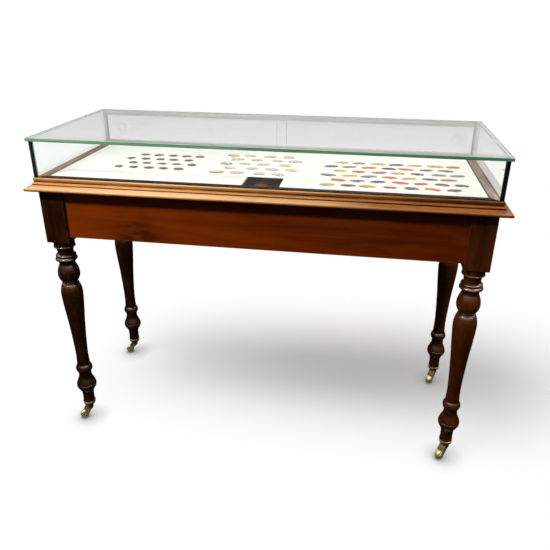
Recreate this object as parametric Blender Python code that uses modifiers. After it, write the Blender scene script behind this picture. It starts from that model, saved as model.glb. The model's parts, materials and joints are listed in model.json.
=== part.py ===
"""Glass display cabinet: a moulded table on turned legs and castors, under a low glass case."""

import math

import bmesh
import bpy
from mathutils import Matrix, Vector

# Fits, in metres like every size here
GAP = 0.0003
RUNNING_GAP = 0.0005
MERGE = 0.00001

# Table
LEG_SPAN_X = 1.168
LEG_SPAN_Y = 0.445
LEG_SIDE = 0.064
LEG_LENGTH = 0.707
BLOCK_LENGTH = 0.150
APRON_HEIGHT = 0.134
APRON_THICKNESS = 0.022
APRON_RECESS = 0.008
TENON_LENGTH = 0.024
TENON_THICKNESS = 0.008
TENON_SHOULDER = 0.016
BRACE_REACH = 0.085
BRACE_THICKNESS = 0.021
BRACE_HEIGHT = 0.045
BRACE_DROP = 0.070
LEDGER_SIDE = 0.018
RAIL_THICKNESS = 0.022
RAIL_HEIGHT = 0.040
RAIL_TENON = 0.010
RAIL_SHOULDER = 0.010
BASE_THICKNESS = 0.012

# Turned leg, from the block down to the foot
SHOULDER_DIAMETER = 0.059
SHOULDER_HEIGHT = 0.0205
SHOULDER_COVE = 0.017
UPPER_NECK_DIAMETER = 0.0433
UPPER_NECK_HEIGHT = 0.0035
UPPER_RING_DIAMETER = 0.0555
UPPER_RING_HEIGHT = 0.0095
RING_QUIRK_DEPTH = 0.002
LOWER_RING_DIAMETER = 0.0606
LOWER_RING_HEIGHT = 0.013
RING_NECK_DIAMETER = 0.0443
RING_NECK_HEIGHT = 0.0098
BALL_DIAMETER = 0.061
BALL_HEIGHT = 0.0561
BALL_CROWN = 0.556
BALL_NECK_DIAMETER = 0.040
BALL_NECK_HEIGHT = 0.0016
FILLET_DIAMETER = 0.0475
FILLET_HEIGHT = 0.0045
VASE_DIAMETER = 0.0612
VASE_WAIST_DIAMETER = 0.036
VASE_END_DIAMETER = 0.0385
# The vase's curve: shares of its length, and there of its belly's depth past the waist
VASE_CURVE = ((0.034, 0.76), (0.114, 1.0), (0.309, 0.73), (0.449, 0.46), (0.645, 0.18), (0.85, 0.0))
LOW_RING_DIAMETER = 0.0493
LOW_RING_HEIGHT = 0.0265
LOW_NECK_DIAMETER = 0.0377
LOW_NECK_HEIGHT = 0.010
BULB_DIAMETER = 0.0592
BULB_HEIGHT = 0.069
BULB_CROWN = 0.543
ANKLE_DIAMETER = 0.035
ANKLE_HEIGHT = 0.019
FOOT_NECK_DIAMETER = 0.0337
FOOT_DIAMETER = 0.0352
FOOT_HEIGHT = 0.020
LEG_STEPS = 16
BEAD_STEPS = 3
OGEE_STEPS = 5

# Moulded frame on the table
MOULD_HEIGHT = 0.0327
MOULD_OVERHANG = 0.026
MOULD_RUN = 0.0213
ROLL_HEIGHT = 0.007
ROLL_SWELL = 0.0012
COVE_HEIGHT = 0.0085
COVE_RUN = 0.0045
BEAD_RADIUS = 0.0013
QUIRK_HEIGHT = 0.0012
NOSE_RADIUS = 0.0045
LEDGE_WIDTH = 0.024
REBATE_WIDTH = 0.010
GROOVE_DEPTH = 0.005

# Display boards and the well between them
BOARD_THICKNESS = 0.006
LEFT_BOARD_EDGE = -0.043
RIGHT_BOARD_EDGE = 0.055
CARD_CENTRE_X = 0.005
CARD_WIDTH = 0.230
CARD_DEPTH = 0.310
CARD_BACK_MARGIN = 0.0047
CARD_THICKNESS = 0.0015
BATTEN_CENTRE_X = -0.0025
BATTEN_WIDTH = 0.035
BATTEN_HEIGHT = 0.012

# Glass case
CASE_HEIGHT = 0.095
PANE_THICKNESS = 0.006
PANE_INSET = 0.0025
TOP_THICKNESS = 0.008
TOP_OVERHANG = 0.0062
SEAL_SIDE = 0.009
DOOR_THICKNESS = 0.005
DOOR_OVERLAP = 0.030
DOOR_END_GAP = 0.001
DOOR_LIFT = 0.004
CHANNEL_WIDTH = 0.006
TRACK_RIB = 0.002
TRACK_MIDDLE_RIB = 0.003
TRACK_WEB = 0.002
LOWER_TRACK_HEIGHT = 0.008
UPPER_TRACK_HEIGHT = 0.012
JAMB_THICKNESS = 0.006
PULL_DIAMETER = 0.030
PULL_THICKNESS = 0.0022
PULL_DISH = 0.0012
PULL_RIM = 0.003
PULL_FROM_END = 0.045
PULL_STEPS = 24

# Castors
CASTOR_HEIGHT = 0.055
PLATE_DIAMETER = 0.034
PLATE_THICKNESS = 0.004
PINTLE_DIAMETER = 0.008
RIVET_DIAMETER = 0.0115
RIVET_THICKNESS = 0.002
HEAD_DIAMETER = 0.022
HEAD_TAPER = 0.0015
HEAD_HEIGHT = 0.015
HEAD_WEB = 0.013
ARM_WIDTH = 0.010
ARM_DROP = 0.0005
ARM_ROOT = 0.014
BOSS_DIAMETER = 0.012
CHEEK_THICKNESS = 0.0025
WHEEL_DIAMETER = 0.028
WHEEL_WIDTH = 0.0135
WHEEL_CHAMFER = 0.002
WHEEL_CLEARANCE = 0.002
AXLE_DIAMETER = 0.004
AXLE_HEAD_DIAMETER = 0.0065
AXLE_HEAD_THICKNESS = 0.001
TRAIL = 0.020
SWIVEL_STEPS = 16
WHEEL_STEPS = 20
AXLE_STEPS = 12

CORNERS = {
    "front_left": (-1, -1),
    "front_right": (1, -1),
    "back_left": (-1, 1),
    "back_right": (1, 1),
}
# The way each castor trails, in degrees from +X
HEADINGS = {"front_left": 215, "front_right": 225, "back_left": 190, "back_right": 235}

# Places that follow from the sizes above
HALF_X = LEG_SPAN_X / 2
HALF_Y = LEG_SPAN_Y / 2
LEG_AXIS_X = HALF_X - LEG_SIDE / 2
LEG_AXIS_Y = HALF_Y - LEG_SIDE / 2
LEG_TOP = CASTOR_HEIGHT + LEG_LENGTH
BLOCK_BOTTOM = LEG_TOP - BLOCK_LENGTH
APRON_BOTTOM = LEG_TOP - APRON_HEIGHT
APRON_INNER = -APRON_RECESS - APRON_THICKNESS
BASE_BOTTOM = LEG_TOP - BASE_THICKNESS
RAIL_TOP = BASE_BOTTOM - GAP
MOULD_BOTTOM = LEG_TOP + GAP
MOULD_TOP = MOULD_BOTTOM + MOULD_HEIGHT
MOULD_EDGE = MOULD_OVERHANG - MOULD_RUN
GLASS_FACE = MOULD_EDGE - PANE_INSET
GLASS_X = HALF_X + GLASS_FACE
GLASS_Y = HALF_Y + GLASS_FACE
OPENING = GLASS_FACE - PANE_THICKNESS - LEDGE_WIDTH
OPENING_X = HALF_X + OPENING
OPENING_Y = HALF_Y + OPENING
GROOVE_FLOOR = MOULD_TOP - GROOVE_DEPTH
CASE_TOP = MOULD_TOP + CASE_HEIGHT
TRACK_WIDTH = 2 * (CHANNEL_WIDTH + TRACK_RIB) + TRACK_MIDDLE_RIB
TRACK_END = GLASS_X - PANE_THICKNESS - GAP
TRACK_CENTRE_Y = GLASS_Y - TRACK_WIDTH / 2
LOWER_TRACK_BOTTOM = GROOVE_FLOOR + GAP
LOWER_TRACK_TOP = LOWER_TRACK_BOTTOM + LOWER_TRACK_HEIGHT
UPPER_TRACK_TOP = CASE_TOP - GAP
UPPER_TRACK_BOTTOM = UPPER_TRACK_TOP - UPPER_TRACK_HEIGHT
DOOR_BOTTOM = LOWER_TRACK_BOTTOM + TRACK_WEB + GAP
DOOR_TOP = UPPER_TRACK_TOP - TRACK_WEB - DOOR_LIFT
DOOR_END = TRACK_END - JAMB_THICKNESS - DOOR_END_GAP
DOOR_OFFSET_Y = (CHANNEL_WIDTH + TRACK_MIDDLE_RIB) / 2
PLATE_BOTTOM = CASTOR_HEIGHT - GAP - PLATE_THICKNESS
HEAD_TOP = PLATE_BOTTOM - GAP
WEB_BOTTOM = HEAD_TOP - HEAD_WEB
FORK_WIDTH = WHEEL_WIDTH + 2 * (RUNNING_GAP + CHEEK_THICKNESS)
AXLE_HEIGHT = WHEEL_DIAMETER / 2 * math.cos(math.pi / WHEEL_STEPS)


def clear_scene():
    for obj in list(bpy.data.objects):
        bpy.data.objects.remove(obj, do_unlink=True)


def new_collection(name):
    made = bpy.data.collections.new(name)
    bpy.context.scene.collection.children.link(made)
    return made


def material(name, colour, roughness, metallic=0.0, transmission=0.0):
    made = bpy.data.materials.new(name)
    made.use_nodes = True
    inputs = made.node_tree.nodes["Principled BSDF"].inputs
    inputs["Base Color"].default_value = (*colour, 1.0)
    inputs["Roughness"].default_value = roughness
    inputs["Metallic"].default_value = metallic
    inputs["Transmission Weight"].default_value = transmission
    return made


clear_scene()
PARTS = new_collection("glass_display_cabinet")
CUTTERS = new_collection("cutters")
DARK_WOOD = material("polished_mahogany", (0.075, 0.018, 0.006), 0.25)
MOULD_WOOD = material("worn_mahogany", (0.230, 0.085, 0.025), 0.30)
PLAIN_WOOD = material("unfinished_pine", (0.330, 0.200, 0.100), 0.70)
WHITE_BOARD = material("white_card", (0.920, 0.910, 0.870), 0.80)
CLEAR_GLASS = material("clear_glass", (0.850, 0.950, 0.900), 0.02, transmission=1.0)
BLACK_SEAL = material("black_seal", (0.012, 0.014, 0.013), 0.45)
TRACK_METAL = material("satin_aluminium", (0.550, 0.550, 0.530), 0.36, metallic=1.0)
BRASS = material("old_brass", (0.560, 0.400, 0.150), 0.28, metallic=1.0)


def add_object(name, shape, finish, parent=None):
    """Turns a bmesh into a named part; without a finish it becomes a hidden cutter."""
    mesh = bpy.data.meshes.new(name)
    shape.to_mesh(mesh)
    shape.free()
    obj = bpy.data.objects.new(name, mesh)
    obj.parent = parent
    if finish:
        mesh.materials.append(finish)
        PARTS.objects.link(obj)
    else:
        obj.hide_render = True
        obj.display_type = "WIRE"
        CUTTERS.objects.link(obj)
    return obj


def add_empty(name, location, degrees=0.0):
    obj = bpy.data.objects.new(name, None)
    obj.location = location
    obj.rotation_euler.z = math.radians(degrees)
    PARTS.objects.link(obj)
    return obj


def add_box(name, low, high, finish=None, parent=None):
    """A block between two opposite corners, with its origin at its centre."""
    low = Vector(low)
    high = Vector(high)
    shape = bmesh.new()
    bmesh.ops.create_cube(shape, size=1.0)
    bmesh.ops.scale(shape, vec=high - low, verts=shape.verts)
    obj = add_object(name, shape, finish, parent)
    obj.location = (low + high) / 2
    return obj


def add_turned(name, profile, steps, finish=None, parent=None, closed=False):
    """A solid turned about local Z from (radius, height) points that run down its outer side."""
    shape = bmesh.new()
    points = [shape.verts.new((radius, 0.0, height)) for radius, height in profile]
    ends = points[1:] + points[:1] if closed else points[1:]
    for upper, lower in zip(points, ends):
        shape.edges.new((upper, lower))
    obj = add_object(name, shape, finish, parent)
    screw = obj.modifiers.new("turn", "SCREW")
    screw.steps = steps
    screw.render_steps = steps
    screw.use_merge_vertices = True
    screw.merge_threshold = MERGE
    return obj


def add_extruded(name, outline, depth, finish=None, parent=None):
    """A flat outline in local XY, thickened by depth about its own plane."""
    curve = bpy.data.curves.new(name, "CURVE")
    curve.dimensions = "2D"
    curve.fill_mode = "BOTH"
    curve.extrude = depth / 2
    spline = curve.splines.new("POLY")
    spline.points.add(len(outline) - 1)
    for point, (x, y) in zip(spline.points, outline):
        point.co = (x, y, 0.0, 1.0)
    spline.use_cyclic_u = True
    guide = bpy.data.objects.new(name + "_outline", curve)
    CUTTERS.objects.link(guide)
    graph = bpy.context.evaluated_depsgraph_get()
    flat = bpy.data.meshes.new_from_object(guide.evaluated_get(graph))
    bpy.data.objects.remove(guide, do_unlink=True)
    shape = bmesh.new()
    shape.from_mesh(flat)
    bpy.data.meshes.remove(flat)
    bmesh.ops.remove_doubles(shape, verts=shape.verts, dist=MERGE)
    bmesh.ops.recalc_face_normals(shape, faces=shape.faces)
    return add_object(name, shape, finish, parent)


def combine(obj, other, operation):
    boolean = obj.modifiers.new(operation.lower(), "BOOLEAN")
    boolean.operation = operation
    boolean.object = other


def arc(centre, radius_across, radius_up, start, end, count):
    """Points (across, up) on an ellipse, from one angle to another, in degrees."""
    points = []
    for step in range(count + 1):
        angle = math.radians(start + (end - start) * step / count)
        points.append((centre[0] + radius_across * math.cos(angle), centre[1] + radius_up * math.sin(angle)))
    return points


def smooth(points, per_span):
    """A Catmull-Rom curve through the points."""
    padded = [points[0], *points, points[-1]]
    result = []
    for before, start, end, after in zip(padded, padded[1:], padded[2:], padded[3:]):
        for step in range(per_span):
            t = step / per_span
            result.append(
                tuple(
                    0.5
                    * (
                        2 * s
                        + (e - b) * t
                        + (2 * b - 5 * s + 4 * e - a) * t * t
                        + (3 * s - b - 3 * e + a) * t**3
                    )
                    for b, s, e, a in zip(before, start, end, after)
                )
            )
    return result + [points[-1]]


# Turned legs


def bead(top, height, root_above, root_below, diameter, crown=0.5):
    """A ring or ball below a height: two parabolas that meet at its widest and end at the necks."""
    widest = top - height * crown
    points = []
    for step in range(-BEAD_STEPS, BEAD_STEPS + 1):
        share = step / BEAD_STEPS
        root = root_above if step < 0 else root_below
        reach = height * (crown if step < 0 else 1 - crown)
        points.append(((diameter - (diameter - root) * share**2) / 2, widest - reach * share))
    return points


def ogee(start, end):
    """An S-curve between two points, upright at both ends."""
    points = []
    for step in range(OGEE_STEPS + 1):
        share = step / OGEE_STEPS
        ease = (1 - math.cos(math.pi * share)) / 2
        points.append((start[0] + (end[0] - start[0]) * ease, start[1] + (end[1] - start[1]) * share))
    return points


def leg_profile():
    """The turning as (radius, height above the foot), from inside the block to the foot."""
    top = BLOCK_BOTTOM - CASTOR_HEIGHT
    shoulder = SHOULDER_DIAMETER / 2
    neck = UPPER_NECK_DIAMETER / 2
    points = [(0.0, top + SHOULDER_HEIGHT), (shoulder, top + SHOULDER_HEIGHT)]
    cove = top - SHOULDER_HEIGHT - SHOULDER_COVE
    points += arc((shoulder, cove), neck - shoulder, SHOULDER_COVE, 90, 0, 3)
    ring = cove - UPPER_NECK_HEIGHT
    quirk = UPPER_RING_DIAMETER - 2 * RING_QUIRK_DEPTH
    points += bead(ring, UPPER_RING_HEIGHT, UPPER_NECK_DIAMETER, quirk, UPPER_RING_DIAMETER)
    ring -= UPPER_RING_HEIGHT
    points += bead(ring, LOWER_RING_HEIGHT, quirk, RING_NECK_DIAMETER, LOWER_RING_DIAMETER)[1:]
    ball = ring - LOWER_RING_HEIGHT - RING_NECK_HEIGHT
    points += bead(ball, BALL_HEIGHT, RING_NECK_DIAMETER, BALL_NECK_DIAMETER, BALL_DIAMETER, BALL_CROWN)
    fillet = ball - BALL_HEIGHT - BALL_NECK_HEIGHT
    points += [(BALL_NECK_DIAMETER / 2, fillet), (FILLET_DIAMETER / 2, fillet)]
    foot_parts = LOW_RING_HEIGHT + LOW_NECK_HEIGHT + BULB_HEIGHT + ANKLE_HEIGHT + FOOT_HEIGHT
    points += vase_profile(fillet - FILLET_HEIGHT, foot_parts)
    points += bead(foot_parts, LOW_RING_HEIGHT, VASE_END_DIAMETER, LOW_NECK_DIAMETER, LOW_RING_DIAMETER)[1:]
    bulb_top = BULB_HEIGHT + ANKLE_HEIGHT + FOOT_HEIGHT
    bulb = (BULB_DIAMETER / 2, bulb_top - BULB_HEIGHT * BULB_CROWN)
    ankle = (ANKLE_DIAMETER / 2, bulb_top - BULB_HEIGHT)
    points += ogee((LOW_NECK_DIAMETER / 2, bulb_top), bulb)
    points += ogee(bulb, ankle)[1:]
    points += [(FOOT_NECK_DIAMETER / 2, FOOT_HEIGHT), (FOOT_DIAMETER / 2, FOOT_HEIGHT / 2)]
    return points + [(FOOT_DIAMETER / 2, 0.0), (0.0, 0.0)]


def vase_profile(top, bottom):
    """The long tapering vase, from its fillet through its shoulder, belly and waist."""
    length = top - bottom
    belly = VASE_DIAMETER - VASE_WAIST_DIAMETER
    points = [(FILLET_DIAMETER / 2, top)]
    for along, out in VASE_CURVE:
        points.append(((VASE_WAIST_DIAMETER + out * belly) / 2, top - length * along))
    points.append((VASE_END_DIAMETER / 2, bottom))
    return smooth(points, 2)


def make_leg(corner, side_x, side_y):
    axis = (side_x * LEG_AXIS_X, side_y * LEG_AXIS_Y, CASTOR_HEIGHT)
    half = LEG_SIDE / 2
    leg = add_box(
        "leg_" + corner,
        (axis[0] - half, axis[1] - half, BLOCK_BOTTOM),
        (axis[0] + half, axis[1] + half, LEG_TOP),
        DARK_WOOD,
    )
    turning = add_turned("turning_" + corner, leg_profile(), LEG_STEPS)
    turning.location = axis
    combine(leg, turning, "UNION")
    for side in ("front_back", "left_right"):
        low, high = tenon_box(side, side_x, side_y, GAP)
        mortise = add_box("mortise_%s_%s" % (side, corner), low, high)
        combine(leg, mortise, "DIFFERENCE")


# Aprons and what they carry


def tenon_box(side, side_x, side_y, clearance):
    """The tenon of one apron in one leg, with its shoulder end run back into the apron."""
    middle = APRON_RECESS + APRON_THICKNESS / 2
    across = TENON_THICKNESS / 2 + clearance
    low_z = APRON_BOTTOM + TENON_SHOULDER - clearance
    high_z = LEG_TOP - TENON_SHOULDER + clearance
    if side == "front_back":
        span = HALF_X - LEG_SIDE
        ends = (side_x * (span - TENON_LENGTH), side_x * (span + TENON_LENGTH + clearance))
        centre = side_y * (HALF_Y - middle)
        return (min(ends), centre - across, low_z), (max(ends), centre + across, high_z)
    span = HALF_Y - LEG_SIDE
    ends = (side_y * (span - TENON_LENGTH), side_y * (span + TENON_LENGTH + clearance))
    centre = side_x * (HALF_X - middle)
    return (centre - across, min(ends), low_z), (centre + across, max(ends), high_z)


def rail_tenon_box(clearance):
    across = TENON_THICKNESS / 2 + clearance
    end = HALF_Y + APRON_INNER + RAIL_TENON + clearance
    low_z = RAIL_TOP - RAIL_HEIGHT + RAIL_SHOULDER - clearance
    high_z = RAIL_TOP - RAIL_SHOULDER + clearance
    return (-across, -end, low_z), (across, end, high_z)


def make_aprons():
    rail_mortise = add_box("rail_mortise", *rail_tenon_box(GAP))
    for name, sign in (("front", -1), ("back", 1)):
        faces = sorted((sign * (HALF_Y - APRON_RECESS), sign * (HALF_Y + APRON_INNER)))
        end = HALF_X - LEG_SIDE - GAP
        apron = add_box("apron_" + name, (-end, faces[0], APRON_BOTTOM), (end, faces[1], LEG_TOP), DARK_WOOD)
        for side_x in (-1, 1):
            low, high = tenon_box("front_back", side_x, sign, 0.0)
            combine(apron, add_box("tenon_%s_%d" % (name, side_x), low, high), "UNION")
        combine(apron, rail_mortise, "DIFFERENCE")
    for name, sign in (("left", -1), ("right", 1)):
        faces = sorted((sign * (HALF_X - APRON_RECESS), sign * (HALF_X + APRON_INNER)))
        end = HALF_Y - LEG_SIDE - GAP
        apron = add_box("apron_" + name, (faces[0], -end, APRON_BOTTOM), (faces[1], end, LEG_TOP), DARK_WOOD)
        for side_y in (-1, 1):
            low, high = tenon_box("left_right", sign, side_y, 0.0)
            combine(apron, add_box("tenon_%s_%d" % (name, side_y), low, high), "UNION")


def make_brace(corner, side_x, side_y):
    """A slanting block across the corner, from one apron's inner face to the other's."""
    wall_x = HALF_X + APRON_INNER - GAP
    wall_y = HALF_Y + APRON_INNER - GAP
    outer = BRACE_REACH
    inner = BRACE_REACH + BRACE_THICKNESS * math.sqrt(2)
    along_x = [(wall_x - outer, wall_y), (wall_x - inner, wall_y)]
    along_y = [(wall_x, wall_y - inner), (wall_x, wall_y - outer)]
    outline = [(side_x * x, side_y * y) for x, y in along_x + along_y]
    brace = add_extruded("corner_brace_" + corner, outline, BRACE_HEIGHT, PLAIN_WOOD)
    brace.location.z = LEG_TOP - BRACE_DROP


def make_base():
    """The floor of the well, on two ledgers and a cross rail, and the batten on it."""
    inner_x = HALF_X + APRON_INNER - GAP
    inner_y = HALF_Y + APRON_INNER - GAP
    leg_x = HALF_X - LEG_SIDE - GAP
    leg_y = HALF_Y - LEG_SIDE - GAP
    quarter = [(inner_x, leg_y), (leg_x, leg_y), (leg_x, inner_y)]
    outline = quarter + [(-x, y) for x, y in reversed(quarter)]
    outline += [(-x, -y) for x, y in quarter] + [(x, -y) for x, y in reversed(quarter)]
    base = add_extruded("base_board", outline, BASE_THICKNESS, PLAIN_WOOD)
    base.location.z = BASE_BOTTOM + BASE_THICKNESS / 2
    for name, sign in (("left", -1), ("right", 1)):
        faces = sorted((sign * inner_x, sign * (inner_x - LEDGER_SIDE)))
        low = (faces[0], -leg_y, RAIL_TOP - LEDGER_SIDE)
        add_box("ledger_" + name, low, (faces[1], leg_y, RAIL_TOP), PLAIN_WOOD)
    half = RAIL_THICKNESS / 2
    low = (-half, -inner_y, RAIL_TOP - RAIL_HEIGHT)
    rail = add_box("cross_rail", low, (half, inner_y, RAIL_TOP), PLAIN_WOOD)
    combine(rail, add_box("rail_tenon", *rail_tenon_box(0.0)), "UNION")
    lip_y = OPENING_Y - REBATE_WIDTH - GAP
    low = (BATTEN_CENTRE_X - BATTEN_WIDTH / 2, -lip_y, LEG_TOP + GAP)
    add_box("well_batten", low, (low[0] + BATTEN_WIDTH, lip_y, low[2] + BATTEN_HEIGHT), MOULD_WOOD)


# Moulded frame


def mould_profile(groove_width):
    """The section as (outward from the leg's face, up from the underside)."""
    nose = MOULD_OVERHANG - NOSE_RADIUS
    cove_end = MOULD_EDGE + COVE_RUN
    bead = MOULD_HEIGHT - ROLL_HEIGHT - COVE_HEIGHT - BEAD_RADIUS
    quirk = bead - BEAD_RADIUS - QUIRK_HEIGHT
    rebate = MOULD_HEIGHT - BOARD_THICKNESS - GAP
    groove = MOULD_HEIGHT - GROOVE_DEPTH
    lip = OPENING - REBATE_WIDTH
    points = [(lip, rebate), (lip, 0.0)]
    points += arc((nose, NOSE_RADIUS), NOSE_RADIUS, NOSE_RADIUS, -90, 90, 6)
    points += arc((nose, quirk), cove_end - nose, quirk - 2 * NOSE_RADIUS, -90, 0, 5)[1:]
    points.append((cove_end, quirk + QUIRK_HEIGHT))
    points += arc((cove_end, bead), BEAD_RADIUS, BEAD_RADIUS, -90, 90, 4)[1:]
    points += arc((cove_end, bead + BEAD_RADIUS + COVE_HEIGHT), -COVE_RUN, COVE_HEIGHT, -90, 0, 4)[1:]
    points += arc((MOULD_EDGE, MOULD_HEIGHT - ROLL_HEIGHT / 2), ROLL_SWELL, ROLL_HEIGHT / 2, -90, 90, 4)[1:]
    points += [(GLASS_FACE + GAP, MOULD_HEIGHT), (GLASS_FACE + GAP, groove)]
    points += [(GLASS_FACE - groove_width - GAP, groove), (GLASS_FACE - groove_width - GAP, MOULD_HEIGHT)]
    return points + [(OPENING, MOULD_HEIGHT), (OPENING, rebate)]


def make_moulding(name, degrees, half_length, half_out, groove_width):
    """One mitred side of the frame: its ends run out as far as its section does."""
    side = add_empty("frame_" + name, (0, 0, MOULD_BOTTOM), degrees)
    member = add_extruded("moulding_" + name, mould_profile(groove_width), 2 * half_length, MOULD_WOOD, side)
    for vertex in member.data.vertices:
        end = half_length + vertex.co.x - GAP
        vertex.co.z = math.copysign(end, vertex.co.z)
    member.matrix_local = Matrix(((0, 0, -1, 0), (-1, 0, 0, -half_out), (0, 1, 0, 0), (0, 0, 0, 1)))
    return member


def make_frame():
    """Four mitred sides: glass stands in a groove on three, and the door track lies along the back."""
    make_moulding("front", 0, HALF_X, HALF_Y, PANE_THICKNESS)
    make_moulding("back", 180, HALF_X, HALF_Y, TRACK_WIDTH)
    low = (-TRACK_END - GAP, GLASS_Y - TRACK_WIDTH - GAP, GROOVE_FLOOR)
    track_seat = add_box("track_seat", low, (TRACK_END + GAP, GLASS_Y + GAP, CASE_TOP))
    for name, degrees in (("right", 90), ("left", 270)):
        member = make_moulding(name, degrees, HALF_Y, HALF_X, PANE_THICKNESS)
        combine(member, track_seat, "DIFFERENCE")


# Boards, glass case and doors


def make_boards():
    top = MOULD_TOP
    bottom = top - BOARD_THICKNESS
    end_x = OPENING_X - GAP
    end_y = OPENING_Y - GAP
    add_box("display_board_left", (-end_x, -end_y, bottom), (LEFT_BOARD_EDGE, end_y, top), WHITE_BOARD)
    add_box("display_board_right", (RIGHT_BOARD_EDGE, -end_y, bottom), (end_x, end_y, top), WHITE_BOARD)
    card_back = OPENING_Y - CARD_BACK_MARGIN
    low = (CARD_CENTRE_X - CARD_WIDTH / 2, card_back - CARD_DEPTH, top + GAP)
    high = (low[0] + CARD_WIDTH, card_back, low[2] + CARD_THICKNESS)
    add_box("display_card_middle", low, high, WHITE_BOARD)


def make_panes():
    bottom = GROOVE_FLOOR + GAP
    top = CASE_TOP - GAP
    seal_x = GLASS_X - SEAL_SIDE
    seal_y = GLASS_Y - SEAL_SIDE
    low = (GAP - seal_x, -GLASS_Y, bottom)
    add_box("glass_front", low, (seal_x - GAP, PANE_THICKNESS - GLASS_Y, top), CLEAR_GLASS)
    for name, sign in (("left", -1), ("right", 1)):
        faces = sorted((sign * GLASS_X, sign * (GLASS_X - PANE_THICKNESS)))
        add_box("glass_" + name, (faces[0], GAP - seal_y, bottom), (faces[1], GLASS_Y, top), CLEAR_GLASS)
        edges = sorted((sign * GLASS_X, sign * seal_x))
        low = (edges[0], -GLASS_Y, MOULD_TOP + GAP)
        add_box("corner_seal_" + name, low, (edges[1], -seal_y, top), BLACK_SEAL)
        jamb = sorted((sign * TRACK_END, sign * (TRACK_END - JAMB_THICKNESS)))
        low = (jamb[0], GLASS_Y - TRACK_WIDTH, LOWER_TRACK_TOP + GAP)
        add_box("door_jamb_" + name, low, (jamb[1], GLASS_Y, UPPER_TRACK_BOTTOM - GAP), TRACK_METAL)
    end_x = GLASS_X + TOP_OVERHANG
    end_y = GLASS_Y + TOP_OVERHANG
    add_box("glass_top", (-end_x, -end_y, CASE_TOP), (end_x, end_y, CASE_TOP + TOP_THICKNESS), CLEAR_GLASS)


def make_track(name, height, web_level, turn):
    """A double channel along X; turned over, its web is on top."""
    outer = TRACK_WIDTH / 2
    wall = outer - TRACK_RIB
    middle = TRACK_MIDDLE_RIB / 2
    outline = [(-outer, 0.0), (outer, 0.0), (outer, height), (wall, height), (wall, TRACK_WEB)]
    outline += [(middle, TRACK_WEB), (middle, height), (-middle, height), (-middle, TRACK_WEB)]
    outline += [(-wall, TRACK_WEB), (-wall, height), (-outer, height)]
    track = add_extruded(name, outline, 2 * TRACK_END, TRACK_METAL)
    track.matrix_world = Matrix(
        ((0, 0, turn, 0), (1, 0, 0, TRACK_CENTRE_Y), (0, turn, 0, web_level), (0, 0, 0, 1))
    )


def make_door(name, sign, centre_y):
    """One sliding pane with a dished finger pull on its outer face."""
    faces = sorted((sign * DOOR_END, -sign * DOOR_OVERLAP / 2))
    half = DOOR_THICKNESS / 2
    low = (faces[0], centre_y - half, DOOR_BOTTOM)
    add_box("sliding_door_" + name, low, (faces[1], centre_y + half, DOOR_TOP), CLEAR_GLASS)
    radius = PULL_DIAMETER / 2
    floor = PULL_THICKNESS - PULL_DISH
    profile = [(0.0, floor), (radius - PULL_RIM, floor), (radius - PULL_RIM, PULL_THICKNESS)]
    profile += [(radius, PULL_THICKNESS), (radius, 0.0), (0.0, 0.0)]
    pull = add_turned("finger_pull_" + name, profile, PULL_STEPS, TRACK_METAL)
    pull.location = (sign * (DOOR_END - PULL_FROM_END), centre_y + half + GAP, (DOOR_BOTTOM + DOOR_TOP) / 2)
    pull.rotation_euler.x = math.radians(-90)


# Castors


def pintle_profile(clearance):
    """The pintle and its riveted end, below the plate."""
    shaft = PINTLE_DIAMETER / 2 + clearance
    rivet = RIVET_DIAMETER / 2 + clearance
    shelf = WEB_BOTTOM - GAP + clearance
    return [(shaft, shelf), (rivet, shelf), (rivet, shelf - RIVET_THICKNESS - clearance)]


def make_plate(corner, place):
    plate = PLATE_DIAMETER / 2
    top = CASTOR_HEIGHT - GAP
    profile = [(0.0, top), (plate, top), (plate, PLATE_BOTTOM), (PINTLE_DIAMETER / 2, PLATE_BOTTOM)]
    profile += pintle_profile(0.0)
    profile.append((0.0, profile[-1][1]))
    add_turned("castor_plate_" + corner, profile, SWIVEL_STEPS, BRASS, place)


def make_fork(corner, place):
    """A round head with two cheeks that trail to the axle."""
    boss = BOSS_DIAMETER / 2
    arm = ARM_WIDTH / 2
    root = HEAD_TOP - ARM_DROP
    outline = [(-arm, root - ARM_ROOT), (-arm, root), (arm, root)]
    outline += arc((TRAIL, AXLE_HEIGHT), boss, boss, 25, -155, 8)
    fork = add_extruded("castor_fork_" + corner, outline, FORK_WIDTH, BRASS, place)
    stand = Matrix.Rotation(math.radians(90), 4, "X")
    fork.matrix_local = stand
    head = HEAD_DIAMETER / 2
    foot = HEAD_TOP - HEAD_HEIGHT
    profile = [(0.0, HEAD_TOP), (head, HEAD_TOP), (head - HEAD_TAPER, foot), (0.0, foot)]
    combine(fork, add_turned("fork_head_" + corner, profile, SWIVEL_STEPS, parent=place), "UNION")
    slot_radius = WHEEL_DIAMETER / 2 + WHEEL_CLEARANCE
    slot_half = WHEEL_WIDTH / 2 + RUNNING_GAP
    slot_profile = [(0.0, slot_half), (slot_radius, slot_half), (slot_radius, -slot_half), (0.0, -slot_half)]
    axle_hole = AXLE_DIAMETER / 2 + GAP
    hole_profile = [(0.0, FORK_WIDTH), (axle_hole, FORK_WIDTH), (axle_hole, -FORK_WIDTH), (0.0, -FORK_WIDTH)]
    cuts = (("wheel_slot", slot_profile, WHEEL_STEPS), ("axle_hole", hole_profile, AXLE_STEPS))
    for name, profile, steps in cuts:
        cutter = add_turned("%s_%s" % (name, corner), profile, steps, parent=place)
        cutter.matrix_local = Matrix.Translation((TRAIL, 0, AXLE_HEIGHT)) @ stand
        combine(fork, cutter, "DIFFERENCE")
    bore = pintle_profile(RUNNING_GAP)
    bore = [(0.0, CASTOR_HEIGHT), (bore[0][0], CASTOR_HEIGHT), *bore[:2], (bore[1][0], 0.0), (0.0, 0.0)]
    combine(fork, add_turned("pintle_bore_" + corner, bore, SWIVEL_STEPS, parent=place), "DIFFERENCE")


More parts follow.
